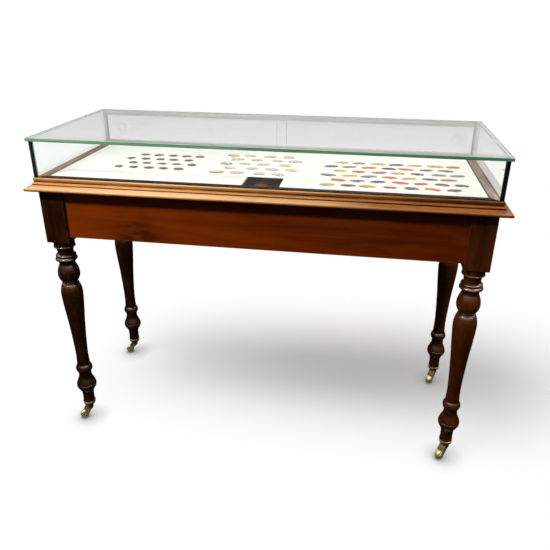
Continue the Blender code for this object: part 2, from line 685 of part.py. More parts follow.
def make_wheel(corner, place):
    """The axle and, with one flat of its rim on the floor, the wheel."""
    lie = Matrix.Translation((TRAIL, 0, AXLE_HEIGHT)) @ Matrix.Rotation(math.radians(90), 4, "X")
    pin = AXLE_DIAMETER / 2
    rim = AXLE_HEAD_DIAMETER / 2
    seat = FORK_WIDTH / 2 + GAP
    end = seat + AXLE_HEAD_THICKNESS
    profile = [(0.0, end), (rim, end), (rim, seat), (pin, seat)]
    profile += [(across, -along) for across, along in reversed(profile)]
    axle = add_turned("castor_axle_" + corner, profile, AXLE_STEPS, BRASS, place)
    axle.matrix_local = lie
    radius = WHEEL_DIAMETER / 2
    half = WHEEL_WIDTH / 2
    bore = pin + RUNNING_GAP
    tread = half - WHEEL_CHAMFER
    edge = radius - WHEEL_CHAMFER
    profile = [(bore, half), (edge, half), (radius, tread), (radius, -tread), (edge, -half), (bore, -half)]
    wheel = add_turned("castor_wheel_" + corner, profile, WHEEL_STEPS, BRASS, place, closed=True)
    wheel.matrix_local = lie @ Matrix.Rotation(math.pi / 2 + math.pi / WHEEL_STEPS, 4, "Z")


def main():
    for corner, (side_x, side_y) in CORNERS.items():
        make_leg(corner, side_x, side_y)
        make_brace(corner, side_x, side_y)
        axis = (side_x * LEG_AXIS_X, side_y * LEG_AXIS_Y, 0.0)
        make_plate(corner, add_empty("castor_mount_" + corner, axis))
        swivel = add_empty("castor_swivel_" + corner, axis, HEADINGS[corner])
        make_fork(corner, swivel)
        make_wheel(corner, swivel)
    make_aprons()
    make_base()
    make_frame()
    make_boards()
    make_panes()
    make_track("lower_track", LOWER_TRACK_HEIGHT, LOWER_TRACK_BOTTOM, 1)
    make_track("upper_track", UPPER_TRACK_HEIGHT, UPPER_TRACK_TOP, -1)
    make_door("left", -1, TRACK_CENTRE_Y + DOOR_OFFSET_Y)
    make_door("right", 1, TRACK_CENTRE_Y - DOOR_OFFSET_Y)


main()
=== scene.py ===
"""Looks of the glass display cabinet: its turnings, mouldings, glass, brass and their finishes."""

import json
import math
import random
from collections import namedtuple

import bmesh
import bpy
from mathutils import Matrix, Vector, noise


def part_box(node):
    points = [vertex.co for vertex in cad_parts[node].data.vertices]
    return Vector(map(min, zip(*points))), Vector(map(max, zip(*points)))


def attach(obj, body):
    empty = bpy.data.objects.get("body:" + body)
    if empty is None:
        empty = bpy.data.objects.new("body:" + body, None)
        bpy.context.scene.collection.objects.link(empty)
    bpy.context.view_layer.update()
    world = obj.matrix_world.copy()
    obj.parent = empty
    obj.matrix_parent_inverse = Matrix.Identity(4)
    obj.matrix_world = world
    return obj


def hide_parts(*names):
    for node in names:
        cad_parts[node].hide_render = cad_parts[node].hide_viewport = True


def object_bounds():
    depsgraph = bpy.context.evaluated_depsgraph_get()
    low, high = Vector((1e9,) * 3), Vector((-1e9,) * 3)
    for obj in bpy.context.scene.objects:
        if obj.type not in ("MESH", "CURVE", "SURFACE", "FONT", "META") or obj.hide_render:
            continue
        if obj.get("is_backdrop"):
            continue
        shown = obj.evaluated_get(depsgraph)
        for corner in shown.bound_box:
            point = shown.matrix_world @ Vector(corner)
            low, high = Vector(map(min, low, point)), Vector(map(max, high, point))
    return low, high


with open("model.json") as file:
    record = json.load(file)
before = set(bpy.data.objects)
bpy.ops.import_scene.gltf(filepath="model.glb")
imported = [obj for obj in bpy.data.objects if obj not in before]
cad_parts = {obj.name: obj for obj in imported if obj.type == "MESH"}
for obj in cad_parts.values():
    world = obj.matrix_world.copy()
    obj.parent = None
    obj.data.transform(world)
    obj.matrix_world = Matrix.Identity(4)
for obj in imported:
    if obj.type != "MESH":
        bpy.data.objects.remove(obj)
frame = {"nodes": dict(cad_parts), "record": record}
CAD_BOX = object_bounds()
NODES = frame["nodes"]
JOINTS = {joint["name"]: joint for joint in frame["record"]["behaviour"]["joints"]}
CORNERS = ("front_left", "front_right", "back_left", "back_right")
# The room left between pieces that would touch
GAP = 0.0003

# Camera, as solved from the photograph: metres, degrees and millimetres
CAMERA_PLACE = (0.2589, -1.5639, 1.2027)
CAMERA_YAW = 9.03
CAMERA_PITCH = -24.97
CAMERA_ROLL = -0.31
CAMERA_LENS = 37.43
CAMERA_SENSOR = 36.0
CAMERA_SHIFT = (0.0028, -0.0043)
CAMERA_CLIP = 0.05

# Lamps: place, aim, diameter, power and colour
LAMPS = {
    "key": ((-1.05, -1.24, 1.95), (-0.10, 0.0, 0.70), 0.22, 18.2, (1.0, 0.97, 0.92)),
    "overhead": ((-0.72, -0.62, 3.20), (0.0, 0.0, 0.80), 1.80, 32.0, (1.0, 0.99, 0.97)),
    "fill": ((1.60, -0.30, 2.60), (0.30, 0.0, 0.80), 1.20, 30.0, (0.97, 0.98, 1.0)),
    "back": ((0.35, 2.40, 2.00), (0.0, 0.0, 0.60), 1.20, 14.0, (1.0, 0.99, 0.97)),
}
SKY_LEVEL = 0.04
CEILING_LEVEL = 2.8
FLOOR_HALF = 14.0
FLOOR_GLOW = 0.38
FLOOR_GAIN = 2.29
FLOOR_BOUNCE = 0.12
# The patch of floor that keeps its shadow: its middle, half sizes, turn in radians, and shares where it fades
FADE_CENTRE = (0.33, 0.27, 0.0)
FADE_HALF = (0.91, 0.41, 1.0)
FADE_TURN = 0.05
FADE_START = 0.10
FADE_END = 1.60
# A contact shadow painted on the floor close to the castors: its reach, where its light comes from, its
# samples, depth and level
CONTACT_REACH = 0.065
CONTACT_WAY = (-0.75, -0.25, 0.62)
CONTACT_SAMPLES = 16
CONTACT_DEPTH = 1.9
CONTACT_LEVEL = 0.16
SURROUND_RADIUS = 4.5
SURROUND_HEIGHT = 3.6
SURROUND_LIFT = 0.003
SURROUND_SIDES = 64
# The share of its height from which the surround grows as bright as the ceiling
SURROUND_BRIGHT = 0.74
SURROUND_STOPS = [
    (0.0, (0.014, 0.010, 0.007, 1.0)),
    (0.24, (0.060, 0.050, 0.043, 1.0)),
    (0.38, (0.28, 0.265, 0.25, 1.0)),
    (0.55, (0.36, 0.34, 0.32, 1.0)),
    (0.90, (1.0, 1.0, 1.0, 1.0)),
]

# Softened edges: widths, segments, the least angle in degrees, and how close points are welded first
EDGE_SOFT = 0.0008
BOARD_SOFT = 0.0004
THIN_SOFT = 0.0003
FORK_SOFT = 0.0005
SOFT_SEGMENTS = 2
SOFT_LIMIT = 40
WELD_REACH = 0.00001

# Turned leg, from the block down to the foot, with the diameter and height of its turnings
Turning = namedtuple("Turning", "wide high")
BLOCK_LENGTH = 0.150
BLOCK_SOFT = 0.0008
BLOCK_ARRIS = 0.0012
BLOCK_WEAR = 0.0012
BLOCK_STATIONS = 26
# Wear on the block's faces, and what its corners add to it
FACE_WEAR = -0.05
CORNER_WEAR = 0.8
# How near to a corner that starts, and where a corner has more points, in degrees
CORNER_REACH = 5
CORNER_TURNS = (-1.6, -0.9, -0.4, 0.4, 0.9, 1.6)
SHOULDER = Turning(0.059, 0.0205)
SHOULDER_ROUND = 0.0022
SHOULDER_LIP = 0.0010
SHOULDER_COVE = 0.017
UPPER_NECK = Turning(0.0433, 0.0035)
UPPER_RING = Turning(0.0555, 0.0095)
RING_QUIRK_DEPTH = 0.002
LOWER_RING = Turning(0.0606, 0.013)
RING_NECK = Turning(0.0443, 0.0098)
BALL = Turning(0.061, 0.0561)
BALL_CROWN = 0.556
BALL_NECK = Turning(0.040, 0.0016)
FILLET = Turning(0.0475, 0.0045)
VASE_DIAMETER = 0.0612
VASE_WAIST_DIAMETER = 0.036
VASE_END_DIAMETER = 0.0385
# The vase's curve: shares of its length, and there of its belly's depth past the waist
VASE_CURVE = ((0.034, 0.76), (0.114, 1.0), (0.309, 0.73), (0.449, 0.46), (0.645, 0.18), (0.85, 0.0))
LOW_RING = Turning(0.0493, 0.0265)
LOW_NECK = Turning(0.0377, 0.010)
BULB = Turning(0.0592, 0.069)
BULB_CROWN = 0.543
BULB_SCORE = 0.06
ANKLE = Turning(0.035, 0.019)
FOOT_NECK_DIAMETER = 0.0337
FOOT = Turning(0.0352, 0.020)
FOOT_ROUND = 0.0012
SCORE_DEPTH = 0.0007
SCORE_HALF = 0.0007
# Wear of a turning: how much round a point counts, what stands out enough for 1, and the least in a groove
WEAR_REACH = 0.014
WEAR_FULL = 0.0045
GROOVE_GRIME = -0.42
LEG_SIDES = 80

# Moulding section, outward from the leg's face and up from its underside
MOULD_RUN = 0.0213
MOULD_FLAT = 0.006
ROLL_HEIGHT = 0.0088
ROLL_SWELL = 0.0012
COVE_HEIGHT = 0.0052
COVE_RUN = 0.0045
BEAD_RADIUS = 0.0013
QUIRK_HEIGHT = 0.0017
QUIRK_DEPTH = 0.0010
NOSE_RADIUS = 0.0045
LEDGE_WIDTH = 0.024
# Inside the ledge: where the painted shade of the gap to the boards begins, where it begins to slope, and how
# far that drops
LEDGE_EDGE = (0.0046, 0.0034, 0.0008)
REBATE_WIDTH = 0.010
GROOVE_DEPTH = 0.005
PANE_INSET = 0.0025
MOULD_STEP = 0.006
MOULD_WOBBLE = 0.00015
# Nicks: their depth, the noise from which there is one, and the wear of the edges that have them
NICK_DEPTH = 0.0010
NICK_START = 0.5
NICKED_WEAR = 0.45
# Along each side of the frame, from -1 to 1 as seen from outside: how far a painted sheen pales it, and how
# far painted gold light warms it, most at the left of the front, where the key lamp falls
FRONT_LEFT_LIGHT = (-1.0, 0.62, 0.85), (-0.84, 0.68, 0.9), (-0.44, 0.9, 0.9)
FRONT_RIGHT_LIGHT = (0.19, 0.5, 0.4), (0.55, 0.06, 0.1), (1.0, 0.0, 0.0)
MOULD_PAINTED_LIGHT = {
    "front": FRONT_LEFT_LIGHT + FRONT_RIGHT_LIGHT,
    "right": ((-1.0, 0.0, 0.0), (1.0, 0.1, 0.1)),
    "back": ((-1.0, 0.1, 0.1), (0.2, 0.4, 0.4), (1.0, 0.4, 0.6)),
    "left": ((-1.0, 0.4, 0.6), (1.0, 0.45, 0.85)),
}
# The wear written on the ledge beside the glass, and the painted shade of the gap on its inner edge beside
# the boards: these two also pick its finish
LEDGE_MARK = -0.30
LEDGE_SHADE = -1.0

# Aprons
APRON_SOFT = 0.0016
APRON_EDGE = 0.006
APRON_WEAR = 0.9
APRON_STEP = 0.012
APRON_WOBBLE = 0.0002
# How much paler each apron is painted at its first end, the left of the long ones and the front of the short
# ones, nearest the key lamp: painted light
APRON_PAINTED_LIGHT = 0.55
# A dark reflection painted at the foot of the front apron: where it is, its reach and its depth
APRON_REFLECTION = (-0.325, 0.07, 0.86)

# Glass and seals
PANE_ARRIS = 0.0007
TOP_ARRIS = 0.0010
SEAL_LIP = 0.0005
SEAL_FILM = 0.00006
SEAL_ROUND = 0.001
SEAL_LAP = {"left": 0.0007, "right": 0.0013}
SEAL_LEAST = 0.0006
SEAL_WAVER = 0.8
SEAL_WAVES = 95
SEAL_STATIONS = 34

# Tokens: the section as shares of the outline and heights, how many of its bands are rim, and how they vary
TOKEN_SECTION = ((1.0, 0.0), (1.0, 0.0012), (0.95, 0.0016), (0.90, 0.0012), (0.70, 0.0022), (0.35, 0.0028))
TOKEN_RIM = 3
TOKEN_SIDES = 16
TOKEN_STRAY = 0.06
TOKEN_TURN = 14
TOKEN_GROWTH = (0.85, 1.1)
# Tokens: what they lie on, first place, columns and rows, pitch and size
TOKENS = {
    "dark": ("display_board_left", (-0.415, -0.075), (5, 4), (0.043, 0.048), (0.028, 0.022)),
    "pale": ("display_card_middle", (-0.130, -0.090), (4, 5), (0.056, 0.048), (0.038, 0.022)),
    "bright": ("display_board_right", (0.170, -0.155), (7, 6), (0.052, 0.046), (0.042, 0.020)),
}

# Castor plates, with the cup round the foot above them and the pintle's riveted head below
PLATE_BEAD = 0.0005
PLATE_STEP = 0.0010
PLATE_SWELL = 0.0003
PLATE_EDGE = 0.0012
PLATE_GRIME = -0.7
CUP_HEIGHT = 0.0075
CUP_WALL = 0.0007
CUP_GAP = 0.00015
CUP_WEAR = 0.4
PINTLE_RADIUS = 0.0040
PINTLE_COLLAR = 0.0012
PINTLE_HEAD = ((0.0, 0.0018), (0.0017, 0.0016), (0.0014, 0.0005), (0.0, 0.0))
SCREW_RADIUS = 0.0024
SCREW_DOME = 0.0004
SCREW_SLOT = 0.0005
SCREW_INSET = 0.0034
SCREW_TURNS = (60, 180, 300)

# Castor wheels and axles: radius, and how far inside the wheel's side or outside the fork's cheek
WHEEL_HALF = 0.00675
WHEEL_BORE = 0.0024
WHEEL_FACE = ((0.0052, 0.0), (0.0060, 0.0011), (0.0095, 0.0009))
WHEEL_LIP = (0.0026, 0.0003)
WHEEL_CROWN = 0.0042
WHEEL_EASE = 0.0004
TREAD_START = 0.009
TREAD_WEAR = 0.9
HUB_WEAR = -0.3
AXLE_END = ((0.0002, 0.0010), (0.0018, 0.0008), (0.0030, 0.0003), (0.00325, 0.0), (0.0020, 0.0))

# Castor forks: outlines as distance from the swivel's axis and depth below the top
SIDE_ROOM = 0.0005
CHEEK_THICK = 0.0025
SLOT_HALF = WHEEL_HALF + SIDE_ROOM
FORK_HALF = SLOT_HALF + CHEEK_THICK
WHEEL_ROOM = 0.002
FORK_HEAD = ((0.0144, 0.0), (0.0146, 0.0011), (0.0126, 0.0030))
FORK_NECK = ((0.0110, 0.0066), (0.0100, 0.0110), (0.0096, 0.0148))
FORK_HEEL = ((-0.0075, 0.0100), (-0.0072, 0.0146), (-0.0010, 0.0200))
FORK_BROW = ((0.0135, 0.0120), (0.0085, 0.0060))
# Where the arm's upper edge leaves its round end, from the swivel's axis and up from the axle
FORK_TOE = (0.0205, 0.0130)
BOSS_RADIUS = 0.0085
BOSS_ARC = (-155, 35)
# Bores: their radii, half the length of the axle's, and how far the pintle's passes the top and the floor
AXLE_BORE = 0.0023
PINTLE_BORE = 0.0046
BORE_HALF = 0.02
BORE_EXTRA = 0.01
FORK_WEAR = 0.9
NECK_GRIME = -0.6
TURN_SIDES = 48
WHEEL_SIDES = 64
BORE_SIDES = 24


def tone(red, green, blue):
    """A colour written as it shows on screen, 0 to 255, as linear RGBA."""
    parts = [value / 255 for value in (red, green, blue)]
    linear = [p / 12.92 if p <= 0.04045 else ((p + 0.055) / 1.055) ** 2.4 for p in parts]
    return (*linear, 1.0)


def grey(level):
    return (level, level, level, 1.0)


# Materials

# Grime, also used as painted shade in the moulding's hollows and beside the boards, and as a painted dark
# reflection on the front apron
GRIME_AND_SHADE = tone(20, 10, 5)
# Gold light painted on the mouldings where the key lamp falls most
PAINTED_GOLD = tone(204, 132, 34)
GLASS_TINT = (0.985, 0.996, 0.990, 1.0)
GLASS_SHADE = (0.97, 0.985, 0.978, 1.0)
EDGE_STOPS = [(0.30, tone(66, 132, 94)), (0.50, tone(114, 180, 138)), (0.72, tone(188, 226, 202))]
DRAWN_STOPS = [(0.3, tone(170, 170, 166)), (0.7, tone(216, 216, 210))]
# Shares of bands, ribbons and fibres in the figure of timber, and how far marks change its colour: clouds,
# pores, rubbing with painted highlight, and grime with painted shade
BAND_SHARE = 0.54
RIBBON_SHARE = 0.28
FIBRE_SHARE = 0.18
CLOUD_DEPTH = 0.4
PORE_DEPTH = 0.35
RUB_AND_SHEEN_DEPTH = 0.75
GRIME_AND_SHADE_DEPTH = 0.92
VARNISH_ROUGH = 0.20
VARNISH_IOR = 1.7


class Finish:
    """A material or a world being made: each call adds a node and links its inputs."""

    def __init__(self, name, kind="materials"):
        self.owner = getattr(bpy.data, kind).new(name)
        self.owner.use_nodes = True
        self.tree = self.owner.node_tree
        self.tree.nodes.clear()

    def node(self, kind, inputs=None, **settings):
        made = self.tree.nodes.new("ShaderNode" + kind)
        for name, value in settings.items():
            setattr(made, name, value)
        for name, value in (inputs or {}).items():
            if isinstance(value, bpy.types.NodeSocket):
                self.tree.links.new(value, made.inputs[name])
            else:
                made.inputs[name].default_value = value
        return made

    def out(self, kind, inputs=None, output=0, **settings):
        """One output of a new node."""
        return self.node(kind, inputs, **settings).outputs[output]

    def maths(self, operation, first, second=0.0, third=0.0, clamp=False):
        return self.out("Math", {0: first, 1: second, 2: third}, operation=operation, use_clamp=clamp)

    def times(self, first, second, clamp=False):
        return self.maths("MULTIPLY", first, second, clamp=clamp)

    def scaled(self, value, factor, start):
        """A value times a factor, added to a start."""
        return self.maths("MULTIPLY_ADD", value, factor, start)

    def larger(self, first, second):
        return self.maths("MAXIMUM", first, second)

    def mix(self, factor, first, second):
        """A mix of two colours."""
        return self.out("Mix", {0: factor, 6: first, 7: second}, 2, data_type="RGBA")

    def mix_shaders(self, factor, first, second):
        return self.out("MixShader", {0: factor, 1: first, 2: second})

    def ramp(self, value, stops):
        made = self.node("ValToRGB", {"Fac": value})
        elements = made.color_ramp.elements
        while len(elements) < len(stops):
            elements.new(0.5)
        for element, (place, colour) in zip(elements, stops):
            element.position = place
            element.color = colour
        return made.outputs["Color"]

    def step(self, value, low, high):
        """0 up to low, 1 from high, and smooth between them."""
        inputs = {"Value": value, "From Min": low, "From Max": high}
        return self.out("MapRange", inputs, interpolation_type="SMOOTHSTEP")

    def where(self):
        return self.out("TexCoord", output="Object")

    def noise(self, scale, detail=2.0, roughness=0.5, distortion=0.0):
        """Noise with so many features to the metre along X, Y and Z."""
        inputs = {"Scale": 1.0, "Detail": detail, "Roughness": roughness, "Distortion": distortion}
        inputs["Vector"] = self.out("Mapping", {"Vector": self.where(), "Scale": scale})
        return self.out("TexNoise", inputs, "Fac")

    def attribute(self, name):
        return self.out("Attribute", output="Fac", attribute_name=name)

    def bump(self, height, distance, strength):
        return self.out("Bump", {"Height": height, "Distance": distance, "Strength": strength})

    def glow(self, strength, colour=grey(1.0)):
        return self.out("Emission", {"Color": colour, "Strength": strength})

    def principled(self, **inputs):
        """A Principled shader, with its inputs by their names in small letters."""
        names = {name: name.replace("_", " ").title().replace("Ior", "IOR") for name in inputs}
        return self.out("BsdfPrincipled", {names[name]: value for name, value in inputs.items()})

    def finish(self, shader, output="OutputMaterial"):
        self.node(output, {"Surface": shader})
        return self.owner

    def surface(self, **inputs):
        return self.finish(self.principled(**inputs))


def wood(kind, axis, name=None):
    """Timber with its grain along an axis.

    The wear attribute runs from -1, grime and painted shade, to 1, pale from rubbing and painted highlight.
    Two more run from 0 to 1 and are painted light: a gold glow, and a pale sheen.
    """
    made = Finish(name or kind)
    *colours, (gloss, specular, coat) = TIMBERS[kind]
    deep, middle, light, pale = [tone(*colour) for colour in colours]
    figure = LEG_FIGURE if axis == "Z" else LONG_FIGURE

    def grain(lengthwise, across, *settings):
        """Noise with so many features to the metre along the grain and across it."""
        scale = [across] * 3
        scale["XYZ".index(axis)] = lengthwise
        return made.noise(scale, *settings)

    band = grain(*figure, 3.0, 0.55, 0.9)
    ribbon = grain(figure[0] * 2.5, figure[1] * 3.0, 3.0, 0.6, 0.5)
    fibre = grain(9.0, 420.0, 4.0, 0.6)
    value = made.scaled(band, BAND_SHARE, made.times(ribbon, RIBBON_SHARE))
    value = made.scaled(fibre, FIBRE_SHARE, value)
    colour = made.ramp(value, [(0.38, deep), (0.50, middle), (0.62, light)])
    cloud = made.step(grain(6.0, 11.0, 2.0, 0.55, 0.6), 0.50, 0.74)
    colour = made.mix(made.times(cloud, CLOUD_DEPTH), colour, deep)
    pore = made.step(grain(110.0, 1900.0, 1.0), 0.60, 0.72)
    colour = made.mix(made.times(pore, PORE_DEPTH), colour, deep)
    wear_and_shading = made.attribute("wear_and_shading")
    scuff = made.step(grain(24.0, 130.0, 4.0, 0.65), 0.34, 0.62)
    # Paler from rubbing where the wear attribute is high; on the mouldings this is also painted highlight
    rubbed_and_sheen = made.times(made.step(wear_and_shading, 0.05, 1.0), scuff, clamp=True)
    colour = made.mix(made.times(rubbed_and_sheen, RUB_AND_SHEEN_DEPTH), colour, pale)
    uneven = made.scaled(value, 1.6, 0.2)
    # Painted light: a gold glow and a pale sheen, as far as their attributes say
    for light_mark, hue in (("gold_light", PAINTED_GOLD), ("painted_light", pale)):
        colour = made.mix(made.times(made.attribute(light_mark), uneven, clamp=True), colour, hue)
    # Grime where the wear attribute is low; on the mouldings this is also painted shade, on the front apron a
    # painted dark reflection
    patch = made.step(grain(16.0, 60.0, 3.0, 0.6), 0.74, 0.36)
    grime_and_shade = made.times(made.step(wear_and_shading, -0.05, -0.9), patch)
    grime_and_shade = made.larger(grime_and_shade, made.step(wear_and_shading, -0.75, -1.0))
    colour = made.mix(made.times(grime_and_shade, GRIME_AND_SHADE_DEPTH), colour, GRIME_AND_SHADE)
    rough = made.scaled(fibre, 0.16, gloss - 0.08)
    rough = made.scaled(made.larger(rubbed_and_sheen, grime_and_shade), 0.12, rough)
    height = made.scaled(pore, -0.6, made.times(fibre, 0.5))
    return made.surface(
        base_color=colour,
        roughness=rough,
        specular_ior_level=specular,
        coat_weight=coat,
        coat_roughness=VARNISH_ROUGH,
        coat_ior=VARNISH_IOR,
        normal=made.bump(height, 0.00025, 0.35),
    )


def both_ways(kind):
    """The same timber with its grain along X and along Y."""
    return {axis: wood(kind, axis, f"{kind}_{axis}") for axis in "XY"}


def clear_glass():
    """Float glass, hardly tinted, that lets lamps through."""
    made = Finish("clear_glass")
    pane = made.principled(base_color=GLASS_TINT, roughness=0.0, ior=1.5, transmission_weight=1.0)
    open_way = made.out("BsdfTransparent", {"Color": GLASS_SHADE})
    shadow = made.out("LightPath", output="Is Shadow Ray")
    return made.finish(made.mix_shaders(shadow, pane, open_way))


def streaked(name, pattern, stops, dent=None, **inputs):
    """A finish coloured by one noise, which may also dent it by a depth and strength."""
    made = Finish(name)
    streak = made.noise(*pattern)
    if dent:
        inputs["normal"] = made.bump(streak, *dent)
    return made.surface(base_color=made.ramp(streak, stops), **inputs)


def glass_edge():
    """The cut edge of the same glass, green because light runs the length of the pane to it."""
    inputs = {"roughness": 0.14, "coat_weight": 0.6, "coat_roughness": 0.05}
    return streaked("glass_edge", ((5.0, 5.0, 260.0), 3.0, 0.6), EDGE_STOPS, **inputs)


def brass(name, bright, tarnish, share):
    """Old brass, tarnished in patches and wherever the wear attribute is low."""
    made = Finish(name)
    patch = made.noise([160.0] * 3, 4.0, 0.6)
    scratch = made.noise((500.0, 500.0, 60.0), 2.0)
    wear_and_shading = made.attribute("wear_and_shading")
    dull = made.step(patch, 0.66 - share * 0.5, 0.84 - share * 0.4)
    dull = made.times(dull, made.step(wear_and_shading, 0.9, 0.2))
    dull = made.larger(dull, made.step(wear_and_shading, -0.05, -0.8))
    return made.surface(
        base_color=made.mix(dull, bright, tarnish),
        metallic=0.45,
        roughness=made.scaled(scratch, 0.10, made.scaled(dull, 0.12, 0.42)),
        normal=made.bump(scratch, 0.0001, 0.25),
    )


def sealant(name, dark, light):
    """Rubbery sealant with an uneven skin."""
    stops = [(0.30, tone(*dark)), (0.75, tone(*light))]
    inputs = {"roughness": 0.32, "specular_ior_level": 0.35}
    return streaked(name, ((180.0, 180.0, 90.0), 3.0, 0.6), stops, (0.0006, 0.5), **inputs)


def card(name, colour, shade):
    """Mounting board with a faint tooth and slightly uneven tone."""
    made = Finish(name)
    tooth = made.noise([900.0] * 3, 3.0, 0.6)
    cloud = made.noise([5.0] * 3, 3.0, 0.6)
    face = made.mix(made.step(cloud, 0.35, 0.75), colour, shade)
    return made.surface(
        base_color=made.mix(made.times(tooth, 0.10), face, shade),
        roughness=0.82,
        specular_ior_level=0.25,
        normal=made.bump(tooth, 0.0001, 0.25),
    )


def satin_metal():
    """Drawn aluminium with fine lines along X."""
    inputs = {"metallic": 1.0, "roughness": 0.36}
    return streaked("satin_aluminium", ((4.0, 1500.0, 1500.0), 2.0), DRAWN_STOPS, (0.00008, 0.3), **inputs)


def enamel(name, colour):
    """Glossy enamel with a slightly uneven face."""
    made = Finish(name)
    mottle = made.noise([260.0] * 3, 3.0, 0.6)
    shade = [part * 0.5 for part in colour[:3]] + [1.0]
    return made.surface(
        base_color=made.mix(made.step(mottle, 0.35, 0.70), colour, shade),
        roughness=0.35,
        normal=made.bump(mottle, 0.0002, 0.3),
    )


# Bands to the metre along the grain and across it
LEG_FIGURE = 7.0, 24.0
LONG_FIGURE = 2.6, 26.0
# Roughness, specular level and coat
LEG_POLISH = 0.42, 0.0, 1.0
APRON_POLISH = 0.32, 0.15, 0.20
MOULD_POLISH = 0.32, 0.15, 0.08
BARE_POLISH = 0.66, 0.25, 0.0
DULL_POLISH = 0.70, 0.0, 0.0
# Timbers: the deep, middle and light colours, the one for rubbed places and painted sheen, and the polish
TIMBERS = {
    "dark_leg_mahogany": ((40, 18, 4), (62, 29, 6), (92, 46, 10), (126, 74, 44), LEG_POLISH),
    "red_leg_mahogany": ((70, 31, 5), (96, 44, 8), (120, 58, 13), (126, 74, 44), LEG_POLISH),
    "apron_mahogany": ((118, 42, 3), (149, 56, 3), (168, 68, 4), (190, 80, 12), APRON_POLISH),
    "mould_mahogany": ((88, 40, 4), (134, 70, 10), (160, 90, 22), (246, 204, 158), MOULD_POLISH),
    "grey_brown_ledge": ((92, 72, 60), (138, 118, 104), (170, 152, 138), (170, 152, 138), BARE_POLISH),
    "dark_ledge": ((28, 14, 4), (46, 24, 8), (72, 42, 18), (126, 74, 44), DULL_POLISH),
    "pine": ((150, 112, 70), (184, 146, 98), (206, 172, 126), (206, 172, 126), BARE_POLISH),
}
ENAMEL_COLOURS = {
    "dark": dict(slate=(40, 44, 48), umber=(52, 40, 32), grey=(66, 68, 66), ink=(34, 36, 44)),
    "pale": dict(mint=(196, 220, 200), blush=(236, 204, 196), sand=(228, 214, 180), mist=(198, 208, 222)),
    "bright": dict(coral=(222, 96, 76), teal=(84, 142, 140), ochre=(222, 180, 92), navy=(66, 74, 104)),
}

LEG_WOOD = {"left": wood("dark_leg_mahogany", "Z"), "right": wood("red_leg_mahogany", "Z")}
APRON_WOOD = both_ways("apron_mahogany")
MOULD_WOOD = both_ways("mould_mahogany")
# Grey-brown wood for the ledges beside the side and back panes
LEDGE_WOOD = both_ways("grey_brown_ledge")
PLAIN_WOOD = both_ways("pine")
DARK_LEDGE = wood("dark_ledge", "X")
CLEAR_GLASS = clear_glass()
GLASS_EDGE = glass_edge()
WHEEL_BRASS = brass("bright_brass", tone(240, 222, 160), tone(172, 142, 80), 0.10)
FORK_BRASS = brass("dull_brass", tone(232, 210, 152), tone(98, 66, 44), 0.55)
SEALANT = {
    "left": sealant("dark_sealant", (14, 20, 17), (46, 58, 50)),
    "right": sealant("black_sealant", (9, 10, 10), (26, 29, 28)),
}
WHITE_CARD = card("white_card", tone(248, 248, 243), tone(242, 241, 233))
CREAM_CARD = card("cream_card", tone(254, 252, 243), tone(250, 246, 234))
ALUMINIUM = satin_metal()
ENAMELS = {
    kind: [enamel(f"{kind}_enamel_{name}", tone(*colour)) for name, colour in colours.items()]
    for kind, colours in ENAMEL_COLOURS.items()
}


# Meshes


def layer(shape, name="wear_and_shading"):
    """The layer of that name, which holds a value for each point of a bmesh."""
    return shape.verts.layers.float.get(name) or shape.verts.layers.float.new(name)


def skin(shape, rings, capped=True):
    """Quads between closed rings of points, one after another, and a face over each end."""
    for upper, lower in zip(rings, rings[1:]):
        for i in range(len(upper)):
            j = (i + 1) % len(upper)
            shape.faces.new((upper[i], lower[i], lower[j], upper[j]))
    if capped:
        shape.faces.new(rings[0])
        shape.faces.new(rings[-1])


def link(obj):
    bpy.context.scene.collection.objects.link(obj)
    return obj


def to_object(name, shape, materials=()):
    mesh = bpy.data.meshes.new(name)
    shape.to_mesh(mesh)
    shape.free()
    for material in materials:
        mesh.materials.append(material)
    return link(bpy.data.objects.new(name, mesh))


def soft_shading(mesh, sharp):
    mesh.shade_smooth()
    mesh.set_sharp_from_angle(angle=math.radians(sharp))


def add_piece(name, shape, materials, body="table", node=None, sharp=35.0):
    """A finished bmesh as a named piece that rides on a body, and stands for a node where there is one."""
    bmesh.ops.recalc_face_normals(shape, faces=shape.faces)
    obj = to_object(name, shape, materials)
    soft_shading(obj.data, sharp)
    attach(obj, body)
    if node:
        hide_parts(node)
    return obj


def round_edges(obj, width):
    round_off = obj.modifiers.new("round", "BEVEL")
    round_off.width = width
    round_off.segments = SOFT_SEGMENTS
    round_off.limit_method = "ANGLE"
    round_off.angle_limit = math.radians(SOFT_LIMIT)
    round_off.harden_normals = True


def dress(node, material, bevel=EDGE_SOFT):
    """A CAD node that stays, with softened edges and a finish."""
    obj = NODES[node]
    obj.material_slots[0].material = material
    weld = obj.modifiers.new("weld", "WELD")
    weld.merge_threshold = WELD_REACH
    round_edges(obj, bevel)
    soft_shading(obj.data, SOFT_LIMIT)


def thickness(node, axis):
    low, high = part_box(node)
    return high[axis] - low[axis]


def spin(degrees, axis="Z"):
    return Matrix.Rotation(math.radians(degrees), 4, axis)


def polar(radius, angle):
    return Vector((radius * math.cos(angle), radius * math.sin(angle)))


def arc(centre, radius_across, radius_up, start, end, count):
    """Points (across, up) on an ellipse, from one angle to another, in degrees."""
    angles = [math.radians(start + (end - start) * step / count) for step in range(count + 1)]
    return [(centre[0] + radius_across * math.cos(a), centre[1] + radius_up * math.sin(a)) for a in angles]


